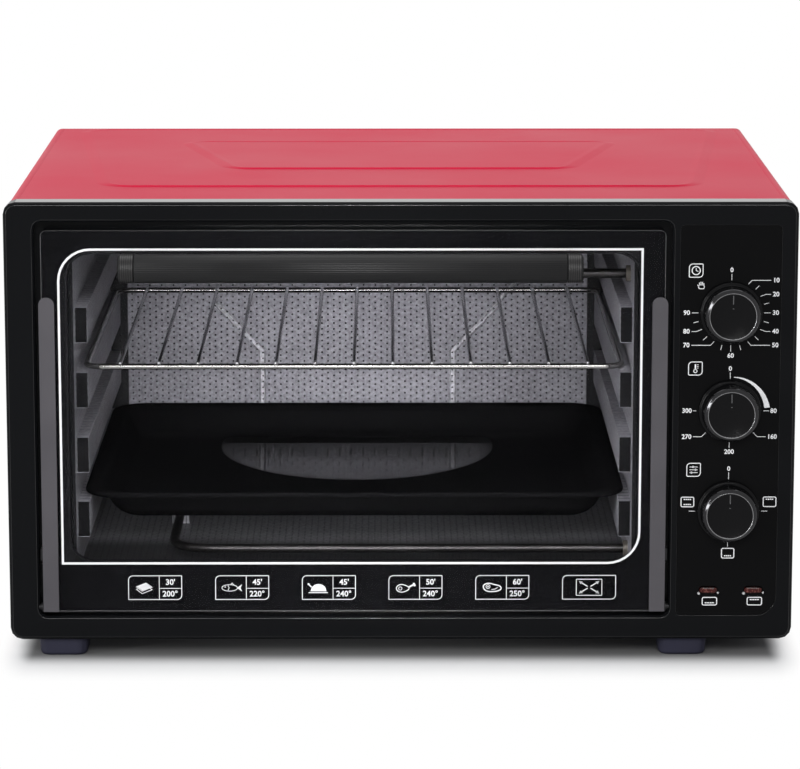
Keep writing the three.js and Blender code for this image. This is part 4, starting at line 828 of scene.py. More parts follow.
class Print:
    """Flat printed marks on a plane that faces the front, in millimetres of x and z."""

    def __init__(self, name, y):
        self.name, self.y, self.points, self.faces = name, y, [], []

    def fill(self, outline):
        start = len(self.points)
        self.points.extend((x / 1000, self.y, z / 1000) for x, z in outline)
        self.faces.append(tuple(range(start, start + len(outline))))

    def stroke(self, chain, width, closed=False):
        """A line of one width along a chain of points, with mitred bends."""
        chain = [Vector(p) for p in chain]
        count = len(chain)
        start = len(self.points)
        for n, point in enumerate(chain):
            before = chain[n - 1] if closed or n > 0 else None
            after = chain[(n + 1) % count] if closed or n < count - 1 else None
            into = (point - before).normalized() if before is not None else (after - point).normalized()
            out = (after - point).normalized() if after is not None else into
            along = (into + out).normalized() if (into + out).length > 1e-6 else into
            across = Vector((-along.y, along.x))
            reach = across * (width / 2 / max(abs(across.dot(Vector((-out.y, out.x)))), 0.35))
            self.points.extend((p.x / 1000, self.y, p.y / 1000) for p in (point + reach, point - reach))
        for n in range(count if closed else count - 1):
            m = (n + 1) % count
            self.faces.append((start + 2 * n, start + 2 * n + 1, start + 2 * m + 1, start + 2 * m))

    def box(self, x, z, wide, tall, width, big=0.8, small=None):
        """A frame whose top left and bottom right corners have the big radius."""
        small = big if small is None else small
        chain = []
        corners = ((1, 1, small), (-1, 1, big), (-1, -1, small), (1, -1, big))
        for quarter, (sx, sz, radius) in enumerate(corners):
            middle = (x + sx * (wide / 2 - radius), z + sz * (tall / 2 - radius))
            chain += arc(*middle, radius, 90 * quarter, 90 * quarter + 90, 5)
        self.stroke(chain, width, True)

    def ring(self, x, z, radius, width):
        self.stroke(arc(x, z, radius, 90, -270, 28)[:-1], width, True)

    def disc(self, x, z, radius):
        self.fill(arc(x, z, radius, 0, 360, 16)[:-1])

    def text(self, words, x, z, size):
        data = bpy.data.curves.new("number", "FONT")
        data.body = words
        data.size = size
        data.align_x = "CENTER"
        data.align_y = "CENTER"
        data.resolution_u = 3
        data.offset = 0.02 * size
        letters = bpy.data.objects.new("number", data)
        scene.collection.objects.link(letters)
        bpy.context.view_layer.update()
        flat = bpy.data.meshes.new_from_object(letters.evaluated_get(bpy.context.evaluated_depsgraph_get()))
        start = len(self.points)
        self.points.extend(((x + v.co.x) / 1000, self.y, (z + v.co.y) / 1000) for v in flat.vertices)
        self.faces.extend(tuple(start + n for n in face.vertices) for face in flat.polygons)
        bpy.data.objects.remove(letters)
        bpy.data.curves.remove(data)
        bpy.data.meshes.remove(flat)

    def make(self, material, body):
        work = bmesh.new()
        verts = [work.verts.new(p) for p in self.points]
        for face in self.faces:
            made = work.faces.new([verts[n] for n in face])
            made.normal_update()
            if made.normal.y > 0:
                made.normal_flip()
        mesh = bpy.data.meshes.new(self.name)
        work.to_mesh(mesh)
        work.free()
        mesh.materials.append(material)
        return riding(self.name, mesh, body)


def node_middle(node):
    """A node's middle seen from the front, in millimetres."""
    low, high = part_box(node)
    return (low.x + high.x) * 500, (low.z + high.z) * 500


plate_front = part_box("control_panel")[0].y
scales = Print("panel_print", plate_front - print_lift)
line, frame_line, digits = 0.36, 0.55, 4.3
sign_wide, sign_tall, sign_big, sign_small = 9.0, 8.8, 2.4, 0.7
dial_x, timer_z = node_middle("timer_shaft")
thermostat_z = node_middle("thermostat_shaft")[1]
function_z = node_middle("function_shaft")[1]


def spoke(z, angle, near, far):
    """A line away from a dial's middle, at an angle clockwise from the top."""
    turn = math.radians(angle)
    scales.stroke([(dial_x + r * math.sin(turn), z + r * math.cos(turn)) for r in (near, far)], line)


# The timer's scale: a hook leads from the dial to each number beside it.
for angle in (0, 90, 180, 270):
    spoke(timer_z, angle, 21.6, 25.8)
for angle in (45, 75, 105, 135, 165, 195, 225, 255):
    spoke(timer_z, angle, 22.2, 25.6)
for number, side, angle, rise, run in (
    (10, 1, 30, 21.6, 2.2), (20, 1, 60, 12.3, 3.6), (40, 1, 120, -12.4, 3.6), (80, -1, 120, -12.4, 3.6),
    (50, 1, 150, -21.6, 2.2), (70, -1, 150, -21.6, 2.2),
):
    turn = math.radians(angle)
    start = (dial_x + side * 22.0 * math.sin(turn), timer_z + 22.0 * math.cos(turn))
    elbow, end = (start[0] + side * run, timer_z + rise), (dial_x + side * 25.8, timer_z + rise)
    scales.stroke([start, elbow, end], line)
    scales.text(str(number), dial_x + side * 29.2, timer_z + rise, digits)
for words, x, z in (("0", 0.0, 28.4), ("30", 29.2, 0.0), ("60", 0.0, -28.6), ("90", -29.2, 0.0)):
    scales.text(words, dial_x + x, timer_z + z, digits)
# Its sign is a small clock, with an open hand below for the hold position.
clock_x, clock_z = dial_x - 23.4, timer_z + 28.1
scales.box(clock_x, clock_z, sign_wide, sign_tall, frame_line, sign_big, sign_small)
scales.ring(clock_x, clock_z, 2.7, 0.62)
scales.stroke([(clock_x, clock_z + 1.7), (clock_x, clock_z), (clock_x + 1.4, clock_z - 0.6)], 0.45)
hand_x, hand_z = dial_x - 19.8, timer_z + 18.2
scales.box(hand_x, hand_z - 0.9, 3.7, 2.5, 0.5, 0.9)
for finger, reach in enumerate((1.9, 2.5, 2.3, 1.6)):
    x = hand_x - 1.3 + finger * 0.95
    scales.stroke([(x, hand_z + 0.2), (x, hand_z + reach)], frame_line)
scales.stroke([(hand_x - 1.8, hand_z - 0.6), (hand_x - 2.7, hand_z + 0.5)], frame_line)

# The thermostat's scale: a band that widens over the first quarter, and a thermometer for a sign.
for angle, near, far in ((0, 21.6, 25.8), (90, 22.3, 26.0), (180, 21.0, 24.9), (270, 22.0, 24.2)):
    spoke(thermostat_z, angle, near, far)
band_steps = 24
band_in, band_out = [], []
for step in range(band_steps + 1):
    share = step / band_steps
    turn = math.radians(6 + 79 * share)
    for edge, radius in ((band_in, 22.5 + 0.3 * share), (band_out, 22.9 + 3.6 * share)):
        edge.append((dial_x + radius * math.sin(turn), thermostat_z + radius * math.cos(turn)))
for n in range(band_steps):
    scales.fill([band_in[n], band_out[n], band_out[n + 1], band_in[n + 1]])
for side, words in ((1, "160"), (-1, "270")):
    hook = [(dial_x + side * x, thermostat_z - z) for x, z in ((15.6, 14.6), (18.4, 17.4), (24.0, 17.4))]
    scales.stroke(hook, line)
    scales.text(words, dial_x + side * 28.2, thermostat_z - 17.5, digits)
for words, x, z in (("0", 0.0, 28.2), ("80", 28.9, -0.1), ("200", 0.0, -27.6), ("300", -28.2, 0.0)):
    scales.text(words, dial_x + x, thermostat_z + z, digits)
sign_x, sign_z = dial_x - 23.0, thermostat_z + 28.4
scales.box(sign_x, sign_z, sign_wide, sign_tall, frame_line, sign_big, sign_small)
scales.ring(sign_x, sign_z - 1.7, 1.1, 0.5)
scales.stroke([(sign_x, sign_z - 1.0), (sign_x, sign_z + 2.8)], 0.95)
for tick in range(3):
    level = sign_z + 0.3 + tick * 1.1
    scales.stroke([(sign_x + 1.0, level), (sign_x + 2.1, level)], 0.32)


def heater_sign(x, z, wide, tall, top, bottom):
    """A small frame with a dashed bar at the side where the heat comes from."""
    scales.box(x, z, wide, tall, 0.62, 1.0)
    span = wide - 3.2
    for present, level in ((top, z + tall / 2 - 1.5), (bottom, z - tall / 2 + 1.5)):
        for dash in range(4 if present else 0):
            left = x - span / 2 + dash * span / 4
            scales.stroke([(left + 0.1, level), (left + span / 4 - 0.15, level)], 0.75)


# The function control's scale: which heater is on, and three sliders for a sign.
for angle, near, far in ((0, 21.6, 26.2), (90, 22.0, 26.0), (270, 22.0, 26.0), (180, 21.2, 24.2)):
    spoke(function_z, angle, near, far)
scales.text("0", dial_x, function_z + 28.6, digits)
heater_sign(dial_x + 27.4, function_z + 6.3, 8.4, 6.5, True, False)
heater_sign(dial_x - 27.0, function_z + 6.2, 8.4, 6.5, True, True)
heater_sign(dial_x + 0.2, function_z - 28.6, 8.2, 6.6, False, True)
sign_x, sign_z = dial_x - 23.2, function_z + 28.0
scales.box(sign_x, sign_z, sign_wide, sign_tall, frame_line, sign_big, sign_small)
for bar, along in enumerate((-1.4, 1.3, -0.4)):
    level = sign_z + (bar - 1) * 1.9
    scales.stroke([(sign_x - 2.7, level), (sign_x + 2.7, level)], 0.42)
    scales.disc(sign_x + along, level, 0.72)
for lamp, top in (("left", False), ("right", True)):
    x, z = node_middle(f"indicator_lamp_{lamp}")
    heater_sign(x + 1.0, z - 7.6, 9.6, 5.2, top, not top)
scales_piece = scales.make(white_print, "housing")

# Indicator lamps: dark red moulded lenses that stand a little proud of the plate, with a
# small bright catch at each lower end.
lens_low, lens_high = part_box("indicator_lamp_left")
# Towards its top and bottom the lens's colour is darkened to nearly black, a painted shade.
lens_lit, lens_dark, lens_dark_share = 0.0009, 0.0019, 0.08
# Each catch's side, its place as a share of the lens's width, its height and its radius.
catches = (("left", 0.08, 0.0019, 0.0011), ("right", 0.93, 0.0024, 0.0008))

lens_red, tree, shader = finish("lens_red", level=0.15)
mottled = effect(tree, moulded_grain, Scale=500.0, Depth=0.00003, Smooth=0.08, Rough=0.22)
place = object_place(tree)
# Painted glints: bright specks in the lens's colour.
glint_spots = add_node(tree, "TexNoise", {"Vector": place, "Scale": 850.0, "Detail": 2.0})
glints = ramp(tree, glint_spots, 0.50, 0.62, shape="LINEAR")
red = mix_colours(tree, mottled["Shade"], (0.012, 0.0012, 0.0011), (0.060, 0.005, 0.0035))
red = mix_colours(tree, glints, red, (0.17, 0.058, 0.048))
height = add_node(tree, "SeparateXYZ", {"Vector": place}, "Z")
off_axis = off_middle(tree, height, (lens_low.z + lens_high.z) / 2)
red = mix_colours(tree, 1.0, red, ramp(tree, off_axis, lens_lit, lens_dark, 1.0, lens_dark_share), "MULTIPLY")
dress(tree, shader, red, mottled)
for lamp in ("left", "right"):
    lens = refined(f"indicator_lamp_{lamp}", lens_red, "housing", edge=0.0003, limit=30.0)
    low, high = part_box(f"indicator_lamp_{lamp}")
    for end, share, rise, radius in catches:
        profile = [
            (0.0, low.y - 0.0001), (radius * 0.6, low.y), (radius, low.y + radius * 0.5),
            (radius, plate_front), (0.0, plate_front),
        ]
        x, z = low.x + (high.x - low.x) * share, low.z + rise
        catch = turned_piece(f"lamp_{lamp}_catch_{end}", profile, x, z, 16, bright_steel, "housing")

# Control shafts: turned steel spindles that stand out of the control bodies through the
# plate, each with one flat that drives its knob.
for control in ("timer", "thermostat", "function"):
    shaft = refined(f"{control}_shaft", bright_steel, f"{control}_control", edge=0.0002, limit=30.0)

# Knobs: hollow glossy black mouldings with a flat skirt and a round grip, whose shoulder is
# bevelled and polished. A thin bright ring lies round a sunk face with a light pointer line.
knob_black = gloss_moulding(
    "knob_black", (0.003, 0.003, 0.0033), (0.0045, 0.0045, 0.005), smooth=0.14, rough=0.22, level=0.08,
)
knob_rim = textured(
    "knob_rim", turning_lines, (0.17, 0.17, 0.175), (0.28, 0.28, 0.285),
    scale=2200.0, depth=0.000003, smooth=0.10, rough=0.20, metallic=0.9,
)
knob_slope = textured(
    "knob_slope", turning_lines, (0.022, 0.022, 0.023), (0.034, 0.034, 0.036),
    scale=1800.0, depth=0.000001, smooth=0.06, rough=0.11, metallic=0.9,
)
grey_print = textured(
    "grey_print", moulded_grain, (0.07, 0.07, 0.072), (0.10, 0.10, 0.102),
    scale=1500.0, depth=0.000005, smooth=0.4, rough=0.55, level=0.2,
)
knob_wall, knob_hollow = 0.0012, 0.0190
shaft_play, shaft_gap = 0.0001, 0.0003
grip_foot, grip_top = 0.0183, 0.0180
ring_out, ring_in, face_radius = 0.0155, 0.0151, 0.0150
face_sink, pointer_sink = 0.0006, 0.00055
# The polished slope lies outside slope_in and the bright ring outside the face, both near the front.
slope_deep, slope_in, ring_deep = 0.0025, 0.0156, 0.0003
# The pointer's line and the dash below it, in millimetres from the knob's middle.
pointer_near, pointer_far, pointer_wide = 8.2, 14.0, 0.62
dash_up, dash_half, dash_wide = 5.3, 0.5, 0.55

for control in ("timer", "thermostat", "function"):
    low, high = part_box(f"{control}_knob")
    shaft_low, shaft_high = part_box(f"{control}_shaft")
    x_mm, z_mm = node_middle(f"{control}_shaft")
    x, z = x_mm / 1000, z_mm / 1000
    back, face = high.y, low.y + 0.0005
    skirt = (high.x - low.x) / 2
    tip, bore = shaft_low.y - shaft_gap, (shaft_high.x - shaft_low.x) / 2 + shaft_play
    profile = [
        (0.0, tip), (bore, tip), (bore, back - knob_wall - 0.0004), (bore + 0.0004, back - knob_wall),
        (knob_hollow, back - knob_wall), (knob_hollow + 0.0004, back),
        (skirt - 0.0005, back), (skirt, back - 0.0005), (skirt, back - 0.0018),
        (skirt - 0.0004, back - 0.0024), (skirt - 0.0009, back - 0.0026), (0.0190, back - 0.0029),
        (grip_foot, back - 0.0040), (0.0181, back - 0.0080), (grip_top, face + 0.0026),
        (0.0178, face + 0.0021), (0.0167, face + 0.0013), (ring_out, face + 0.0004),
        (ring_out, face + 0.0001), ((ring_out + ring_in) / 2, face), (ring_in, face + 0.0001),
        (face_radius, face + 0.0004), (0.0146, face + face_sink), (0.0, face + face_sink),
    ]
    body = f"{control}_control"
    grip = turned_piece(f"{control}_knob_grip", profile, x, z, 96, knob_black, body, smooth_angle=45.0)
    grip.data.materials.append(knob_rim)
    grip.data.materials.append(knob_slope)
    for polygon in grip.data.polygons:
        middle = polygon.center
        radius, depth = math.hypot(middle.x - x, middle.z - z), middle.y - face
        if depth < slope_deep and radius > slope_in:
            polygon.material_index = 2
        elif depth < ring_deep and radius > face_radius:
            polygon.material_index = 1
    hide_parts(f"{control}_knob")
    pointer = Print(f"{control}_pointer", face + pointer_sink)
    pointer.stroke([(x_mm, z_mm + pointer_far), (x_mm, z_mm + pointer_near)], pointer_wide)
    pointer.stroke([(x_mm - dash_half, z_mm + dash_up), (x_mm + dash_half, z_mm + dash_up)], dash_wide)
    mark = pointer.make(grey_print, body)

# Door inner frame: a pressed steel ring behind the glass, in the same black heat-proof
# enamel as the front frame.
ring = refined("door_inner_frame", black_enamel, "door", edge=0.0006, limit=35.0, steps=3)

# Door glass: one pane of smoked toughened glass with ground edges. Its border is printed
# black from behind, and a white line and six cooking signs are printed on its front.
smoked_glass, tree, shader = finish("smoked_glass", level=0.05)
smears = effect(tree, moulded_grain, Scale=30.0, Depth=0.0, Smooth=0.0, Rough=0.03)
feed(tree, shader, {
    "Base Color": (0.90, 0.90, 0.92, 1.0), "Transmission Weight": 1.0, "IOR": 1.45,
    "Specular Tint": (0.03, 0.03, 0.03, 1.0), "Roughness": smears["Roughness"],
})
clear = add_node(tree, "BsdfTransparent", {"Color": (0.90, 0.90, 0.92, 1.0)})
shadow_rays = add_node(tree, "LightPath", {}, "Is Shadow Ray")
glazing = add_node(tree, "MixShader", {"Fac": shadow_rays, 1: shader.outputs["BSDF"], 2: clear})
feed(tree, tree.nodes["Material Output"], {"Surface": glazing})
ground_edge = textured(
    "ground_edge", moulded_grain, (0.10, 0.10, 0.102), (0.16, 0.16, 0.163),
    scale=2500.0, depth=0.00001, smooth=0.35, rough=0.5, level=0.4,
)
pane = refined("door_glass", smoked_glass, "door", edge=0.0005, limit=35.0, edge_material=ground_edge)

# The print on the glass, in millimetres. The window line is rounded at its top left and bottom
# right corners, and the border reaches from it almost to the pane's edge.
glass_low, glass_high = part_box("door_glass")
line_left, line_right, line_bottom, line_top = -224.3, 157.9, 64.8, 275.4
line_corner, line_steps, window_line = 21.0, 8, 1.5
border_inset, border_lift = 0.6, 0.0001
pane_left, pane_right = glass_low.x * 1000 + border_inset, glass_high.x * 1000 - border_inset
pane_bottom, pane_top = glass_low.z * 1000 + border_inset, glass_high.z * 1000 - border_inset
window_corners = (
    ((line_right, line_top), (line_left + line_corner, line_top - line_corner), 90),
    ((line_left, line_bottom), (line_right - line_corner, line_bottom + line_corner), 270),
)
window = []
for square, middle, begin in window_corners:
    window += [square, *arc(*middle, line_corner, begin, begin + 90, line_steps)]

border = Print("glass_border", glass_high.y + border_lift)
outer = []
for n, (x, z) in enumerate(window):
    half, step = divmod(n, line_steps + 2)
    near_x, far_x, level = ((pane_right, pane_left, pane_top), (pane_left, pane_right, pane_bottom))[half]
    if step == 0:
        outer.append((near_x, level))
    elif step <= 3:
        outer.append((x, level))
    elif step < 7:
        outer.append((far_x, level))
    else:
        outer.append((far_x, z))
for n in range(len(window)):
    m = (n + 1) % len(window)
    quad = [window[n], window[m], outer[m], outer[n]]
    border.fill(quad if outer[m] != outer[n] else quad[:3])
black_print = textured(
    "black_print", moulded_grain, (0.0015, 0.0015, 0.002), (0.003, 0.003, 0.0035),
    scale=1500.0, depth=0.000004, smooth=0.4, rough=0.55, level=0.03,
)
border_piece = border.make(black_print, "door")

signs = Print("glass_print", glass_low.y - print_lift)
signs.stroke(window, window_line, True)
sign_line = 0.42


def outline(shape, x, z, closed=True):
    signs.stroke([(x + a, z + b) for a, b in shape], sign_line, closed)


def toast(x, z):
    for shift in (0.0, 1.7):
        outline([(-5.4, -0.6), (-1.6, -3.6), (5.0, -0.9), (1.0, 2.0)], x, z + 1.4 - shift)
    signs.fill([(x - 5.0, z + 0.9), (x - 1.4, z - 1.8), (x + 4.4, z + 0.5), (x + 0.9, z + 3.1)])


def fish(x, z):
    signs.stroke(arc(x - 1.2, z, 5.2, 0, 360, 24, up=2.2)[:-1], sign_line, True)
    signs.fill([(x + 3.6, z), (x + 7.0, z + 2.5), (x + 6.0, z), (x + 7.0, z - 2.5)])
    signs.disc(x - 4.2, z + 0.6, 0.45)
    outline([(-2.4, -1.7), (-1.6, 0.0), (-2.4, 1.7)], x, z, closed=False)
    outline([(-0.8, 2.1), (0.4, 3.3), (1.7, 1.9)], x, z, closed=False)


def roast(x, z):
    signs.fill([(x - 5.4, z - 2.4), *arc(x + 0.2, z - 1.6, 5.0, 180, 0, 12, up=4.2), (x + 5.4, z - 2.4)])
    signs.stroke([(x - 6.4, z - 3.3), (x + 6.4, z - 3.3)], 0.6)
    signs.stroke([(x - 4.4, z + 0.4), (x - 6.2, z + 2.2)], 0.8)
    signs.disc(x - 6.4, z + 2.5, 0.7)


def drumstick(x, z):
    meat = []
    for step in range(24):
        turn = 2 * math.pi * step / 24
        pull = 1.0 + 0.35 * max(0.0, math.cos(turn))
        tall = 3.1 * (1.15 - 0.3 * pull)
        meat.append((x - 2.0 + 3.6 * pull * math.cos(turn), z - 0.4 + tall * math.sin(turn)))
    signs.stroke(meat, 0.6, True)
    signs.ring(x - 3.0, z - 0.5, 1.1, sign_line)
    signs.stroke([(x + 2.6, z + 0.4), (x + 5.6, z + 2.0)], 1.1)
    signs.disc(x + 6.0, z + 2.6, 0.75)
    signs.disc(x + 6.5, z + 1.7, 0.75)


def steak(x, z):
    shape = []
    for step in range(28):
        turn = 2 * math.pi * step / 28
        radius = 1.0 + 0.16 * math.cos(2 * turn + 0.6) + 0.08 * math.cos(3 * turn)
        shape.append((x + 5.2 * radius * math.cos(turn), z + 3.1 * radius * math.sin(turn)))
    signs.stroke(shape, 0.75, True)
    signs.ring(x - 2.4, z + 0.7, 1.3, sign_line)
    signs.disc(x - 2.4, z + 0.7, 0.5)
    outline([(-0.2, -1.3), (2.6, -0.9), (4.0, 0.3)], x, z, closed=False)


def crossed_arrows(x, z):
    signs.box(x, z, 17.0, 11.0, 0.5, 0.4)
    for sx in (-1, 1):
        for sz in (-1, 1):
            tip = (x + sx * 6.6, z + sz * 4.1)
            signs.stroke([(x + sx * 1.0, z + sz * 0.6), tip], 0.7)
            signs.fill([tip, (tip[0] - sx * 2.4, tip[1] - sz * 0.2), (tip[0] - sx * 0.9, tip[1] - sz * 2.0)])


sign_bottom, sign_top, box_wide = 40.1, 56.3, 35.3
divide_at, words_size = 20.4, 5.4
z = (sign_bottom + sign_top) / 2
for left, draw, minutes, degrees in (
    (-181.0, toast, 30, 200), (-123.2, fish, 45, 220), (-65.6, roast, 45, 240), (-8.1, drumstick, 50, 240),
    (49.6, steak, 60, 250), (107.3, crossed_arrows, None, None),
):
    signs.box(left + box_wide / 2, z, box_wide, sign_top - sign_bottom, 0.5, 3.0, 0.3)
    if minutes is None:
        draw(left + box_wide / 2, z)
        continue
    divide = left + divide_at
    signs.stroke([(divide, sign_bottom + 0.3), (divide, sign_top - 0.3)], sign_line)
    signs.stroke([(divide, z - 0.5), (left + box_wide - 0.3, z - 0.5)], sign_line)
    draw(left + 10.6, z - 0.2)
    signs.text(f"{minutes}'", divide + 7.4, z + 3.6, words_size)
    signs.text(f"{degrees}°", divide + 7.2, z - 4.4, words_size)
signs_piece = signs.make(white_print, "door")

# Side trims: folded steel channels in satin grey that clasp the glass down each side, with
# a round-topped face.
satin_grey = textured(
    "satin_grey", moulded_grain, (0.056, 0.053, 0.060), (0.074, 0.070, 0.078),
    scale=1100.0, depth=0.00001, smooth=0.34, rough=0.46, metallic=0.5,
)
for side in ("left", "right"):
    trim = refined(f"door_trim_{side}", satin_grey, "door", edge=0.00035, limit=35.0, steps=3)

# Hinge pins, hinge arms and door springs: blackened steel pins riveted through the trims, flat
# quadrant arms blackened too, and a bright wound wire spring from each arm to the base plate.
black_steel = textured(
    "black_steel", moulded_grain, (0.010, 0.010, 0.011), (0.020, 0.020, 0.021),
    scale=900.0, depth=0.00001, smooth=0.35, rough=0.5, metallic=0.3, level=0.2,
)
for side in ("left", "right"):
    for kind in ("hinge_pin", "hinge_arm"):
        part = refined(f"{kind}_{side}", black_steel, "door", edge=0.0002, limit=35.0)
    spring = refined(f"door_spring_{side}", bright_steel, "housing", edge=0.0001, limit=100.0)

# Handle: an anodised dark grey tube with fine grooves along it, between two ribbed end caps
# whose arms reach back to the glass.
tube_low, tube_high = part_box("door_handle")
tube_y, tube_z = (tube_low.y + tube_high.y) / 2, (tube_low.z + tube_high.z) / 2
tube_radius = (tube_high.z - tube_low.z) / 2
tube_bevel = 0.0003
groove_depth, grooves = 0.00022, 46
cap_long, cap_ribs = 0.0100, 6
rib_pitch, rib_rise, rib_bevel, rib_wide = 0.0014, 0.0005, 0.0003, 0.0012


def grooved_tube():
    points, faces = [], []
    sides = grooves * 4
    for x, drop in (
        (tube_low.x, tube_bevel), (tube_low.x + tube_bevel, 0.0), (tube_high.x - tube_bevel, 0.0),
        (tube_high.x, tube_bevel),
    ):
        for n in range(sides):
            turn = 2 * math.pi * n / sides
            radius = tube_radius - drop - groove_depth * (0.5 - 0.5 * math.cos(grooves * turn))
            points.append((x, tube_y + radius * math.cos(turn), tube_z + radius * math.sin(turn)))
    for row in range(3):
        faces += ring_faces(row * sides, (row + 1) * sides, sides)
    faces.append(tuple(range(sides - 1, -1, -1)))
    faces.append(tuple(range(3 * sides, 4 * sides)))
    return points, faces


handle_grey = textured(
    "handle_grey", moulded_grain, (0.007, 0.007, 0.0073), (0.011, 0.011, 0.0115),
    scale=700.0, depth=0.000006, smooth=0.3, rough=0.42, metallic=0.1, level=0.15,
)
cap_plastic = textured(
    "cap_plastic", moulded_grain, (0.012, 0.011, 0.011), (0.020, 0.019, 0.019),
    scale=1600.0, depth=0.00003, smooth=0.36, rough=0.5, level=0.3,
)
tube = mesh_piece("handle_tube", *grooved_tube(), handle_grey, "door", 60.0)
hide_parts("door_handle")

for side, sign in (("left", -1), ("right", 1)):
    low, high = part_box(f"handle_end_{side}")
    outer_x = low.x if sign < 0 else high.x
    inner_x = outer_x - sign * cap_long
    profile = [(0.0, inner_x), (tube_radius - 0.0006, inner_x)]
    for n in range(cap_ribs):
        start = inner_x + sign * (0.0004 + n * rib_pitch)
        rib = ((rib_rise, 0.0), (0.0, rib_bevel), (0.0, rib_wide - rib_bevel), (rib_rise, rib_wide))
        profile += [(tube_radius - drop, start + sign * along) for drop, along in rib]
    profile += [
        (tube_radius - 0.0004, outer_x - sign * 0.0008), (tube_radius - 0.0012, outer_x - sign * 0.0002),
        (tube_radius - 0.0022, outer_x), (0.0, outer_x),
    ]
    cap = turned_piece(f"handle_cap_{side}", profile, tube_y, tube_z, 48, cap_plastic, "door", True, 30.0)
    arm = refined(f"handle_end_{side}", black_plastic, "door", edge=0.0006, limit=30.0, steps=3)
    screw = refined(f"handle_screw_{side}", bright_steel, "door", edge=0.0002, limit=40.0)

# Wire rack: a frame rod bent round the edge, with thinner wires laid over it from front to
# back, spot-welded and chrome-plated.
rack_low, rack_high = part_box("wire_rack")
rod_radius, wire_radius, weld_radius = 0.0020, 0.0013, 0.0014
rack_corner = 0.012
rack_left, rack_right = rack_low.x + rod_radius, rack_high.x - rod_radius
rack_near, rack_far = rack_low.y + rod_radius, rack_high.y - rod_radius
rack_z = rack_low.z + 0.0018
wire_z = rack_z + rod_radius
wire_pitch, wire_count = 0.026, 13
first_wire = (rack_left + rack_right - (wire_count - 1) * wire_pitch) / 2
wire_places = [first_wire + n * wire_pitch for n in range(wire_count)]
# Each wire's ends dip over the rod, given as places past the rod's middle and drops.
wire_end = ((0.0012, 0.0012), (0.0, 0.0002), (-0.003, 0.0))

chrome, tree, shader = finish("chrome", metallic=1.0)
plating = effect(tree, moulded_grain, Scale=800.0, Depth=0.000004, Smooth=0.08, Rough=0.18)
# Painted reflection: the wires' colour is dark where they face the view and light towards their sides.
turned_away = add_node(tree, "LayerWeight", {"Blend": 0.62}, "Facing")
dress(tree, shader, mix_colours(tree, turned_away, (0.055, 0.055, 0.058), (0.80, 0.80, 0.82)), plating)
bright_chrome = textured(
    "bright_chrome", moulded_grain, (0.27, 0.265, 0.25), (0.38, 0.375, 0.355),
    scale=800.0, depth=0.000002, smooth=0.06, rough=0.12, metallic=1.0,
)
loop = []
turn_left, turn_right = rack_left + rack_corner, rack_right - rack_corner
turn_near, turn_far = rack_near + rack_corner, rack_far - rack_corner
for x, y, begin in (
    (turn_right, turn_far, 0), (turn_left, turn_far, 90),
    (turn_left, turn_near, 180), (turn_right, turn_near, 270),
):
    loop += [(*point, rack_z) for point in arc(x, y, rack_corner, begin, begin + 90, 8)]
wires = [
    [(x, rack_near - past, wire_z - drop) for past, drop in wire_end]
    + [(x, rack_far + past, wire_z - drop) for past, drop in reversed(wire_end)]
    for x in wire_places
]
rack_frame = path_piece("rack_frame", [loop], rod_radius, bright_chrome, "rack", closed=True)
rack_wires = path_piece("rack_wires", wires, wire_radius, chrome, "rack")
for rack in (rack_frame, rack_wires):
    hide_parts("wire_rack")


def weld_beads():
    work = bmesh.new()
    for x in wire_places:
        made = bmesh.ops.create_icosphere(work, subdivisions=2, radius=weld_radius)
        bmesh.ops.translate(work, vec=(x, rack_low.y + weld_radius, wire_z + 0.0004), verts=made["verts"])
    return points_and_faces(work)


welds = mesh_piece("rack_welds", *weld_beads(), bright_steel, "rack", 180.0)

# Baking tray: a pressed steel tray with rounded corners, sloping sides and a rolled rim,
# coated in glossy black enamel that is rubbed bright in the middle of its floor.
tray_low, tray_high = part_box("baking_tray")
tray_x, tray_y = (tray_low.x + tray_high.x) / 2, (tray_low.y + tray_high.y) / 2
tray_corner, tray_tightest, tray_thick = 0.026, 0.010, 0.0010
tray_floor = tray_low.z + tray_thick
# The inside from the floor up, as pairs of how far in from the rim and how high.
tray_inside = [
    (0.0345, 0.0), (0.0290, 0.0003), (0.0250, 0.0012), (0.0215, 0.0032), (0.0185, 0.0062), (0.0160, 0.0100),
    (0.0140, 0.0140), (0.0122, 0.0178), (0.0108, 0.0196), (0.0092, 0.0206), (0.0070, 0.0210),
]
# The rolled rim, as pairs of how far in and how far below the top.
tray_rim = [
    (0.0040, 0.0003), (0.0018, 0.0), (0.0006, 0.0005), (0.0, 0.0016), (0.0004, 0.0032), (0.0012, 0.0038),
    (0.0020, 0.0034), (0.0026, 0.0022),
]
rubbed_middle = (tray_x, tray_high.y - 0.052, tray_low.z + 0.001)
rubbed_reach = (0.100, 0.122, 0.004)
rubbed_metal, rubbed_roughness = 0.37, 0.03
# The floor dishes up towards the back, by dish_rise between dish_from and dish_to.
dish_from, dish_to, dish_rise = tray_high.y - 0.120, tray_high.y - 0.020, 0.009


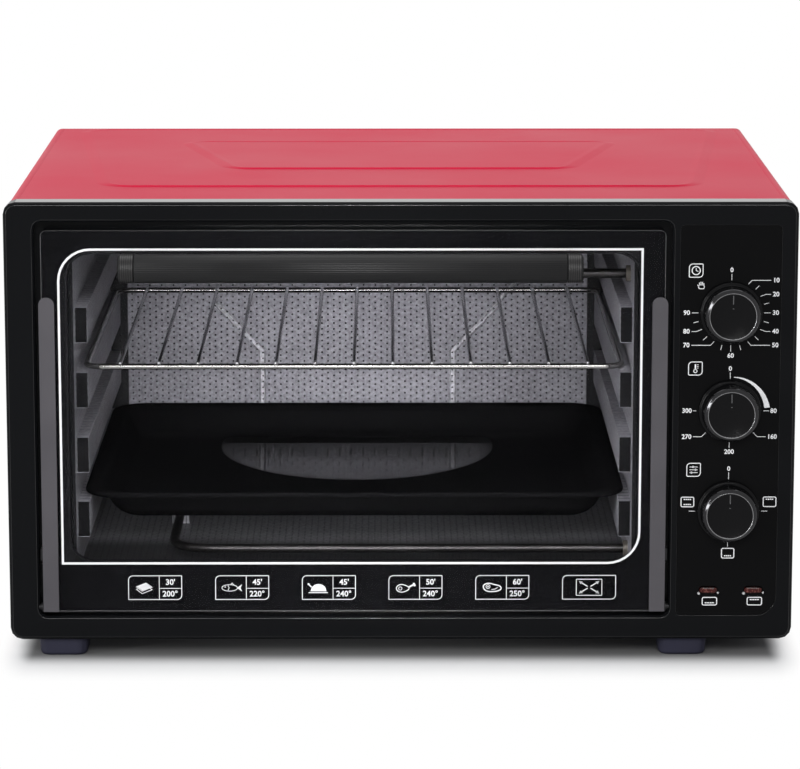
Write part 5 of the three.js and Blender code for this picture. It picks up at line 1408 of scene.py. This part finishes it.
def tray_form():
    skin = [(inset, tray_floor + rise) for inset, rise in tray_inside]
    skin += [(inset, tray_high.z - drop) for inset, drop in tray_rim]
    skin += [(inset + tray_thick, tray_floor + rise - tray_thick) for inset, rise in reversed(tray_inside)]
    half_wide, half_deep = (tray_high.x - tray_low.x) / 2, (tray_high.y - tray_low.y) / 2
    points, faces = [], []
    for inset, z in skin:
        radius = max(tray_corner - inset * 0.5, tray_tightest)
        for quarter, (sx, sy) in enumerate(((1, 1), (-1, 1), (-1, -1), (1, -1))):
            middle = (tray_x + sx * (half_wide - inset - radius), tray_y + sy * (half_deep - inset - radius))
            points += [(*point, z) for point in arc(*middle, radius, 90 * quarter, 90 * quarter + 90, 10)]
    count = len(points) // len(skin)
    for row in range(len(skin) - 1):
        faces += ring_faces((row + 1) * count, row * count, count)
    faces.append(tuple(range(count)))
    faces.append(tuple(range(len(points) - 1, len(points) - count - 1, -1)))
    return points, faces


tray_enamel, tree, shader = finish("tray_enamel", level=0.0)
coat = effect(tree, powder_coat, Scale=420.0, Depth=0.000004, Smooth=0.22, Rough=0.32)
place = object_place(tree)
offset = reckon_vector(tree, "SUBTRACT", place, rubbed_middle)
reach = reckon_vector(tree, "LENGTH", reckon_vector(tree, "DIVIDE", offset, rubbed_reach))
rubbed = ramp(tree, reach, 0.96, 1.02, 1.0, 0.0)
smoother = add_node(tree, "Mix", {"Factor": rubbed, 2: coat["Roughness"], 3: rubbed_roughness})
depth = add_node(tree, "SeparateXYZ", {"Vector": place}, "Y")
to_back = ramp(tree, depth, dish_from, dish_to, shape="LINEAR")
feed(tree, shader, {
    "Base Color": mix_colours(tree, coat["Shade"], (0.003, 0.003, 0.0033), (0.006, 0.006, 0.0063)),
    "Metallic": reckon(tree, "MULTIPLY", rubbed, rubbed_metal),
    "Roughness": smoother,
    "Normal": add_node(tree, "Bump", {
        "Height": reckon(tree, "POWER", to_back, 2.0), "Distance": dish_rise, "Normal": coat["Normal"],
    }),
})
tray = mesh_piece("tray_pressing", *tray_form(), tray_enamel, "tray", 50.0)
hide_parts("baking_tray")
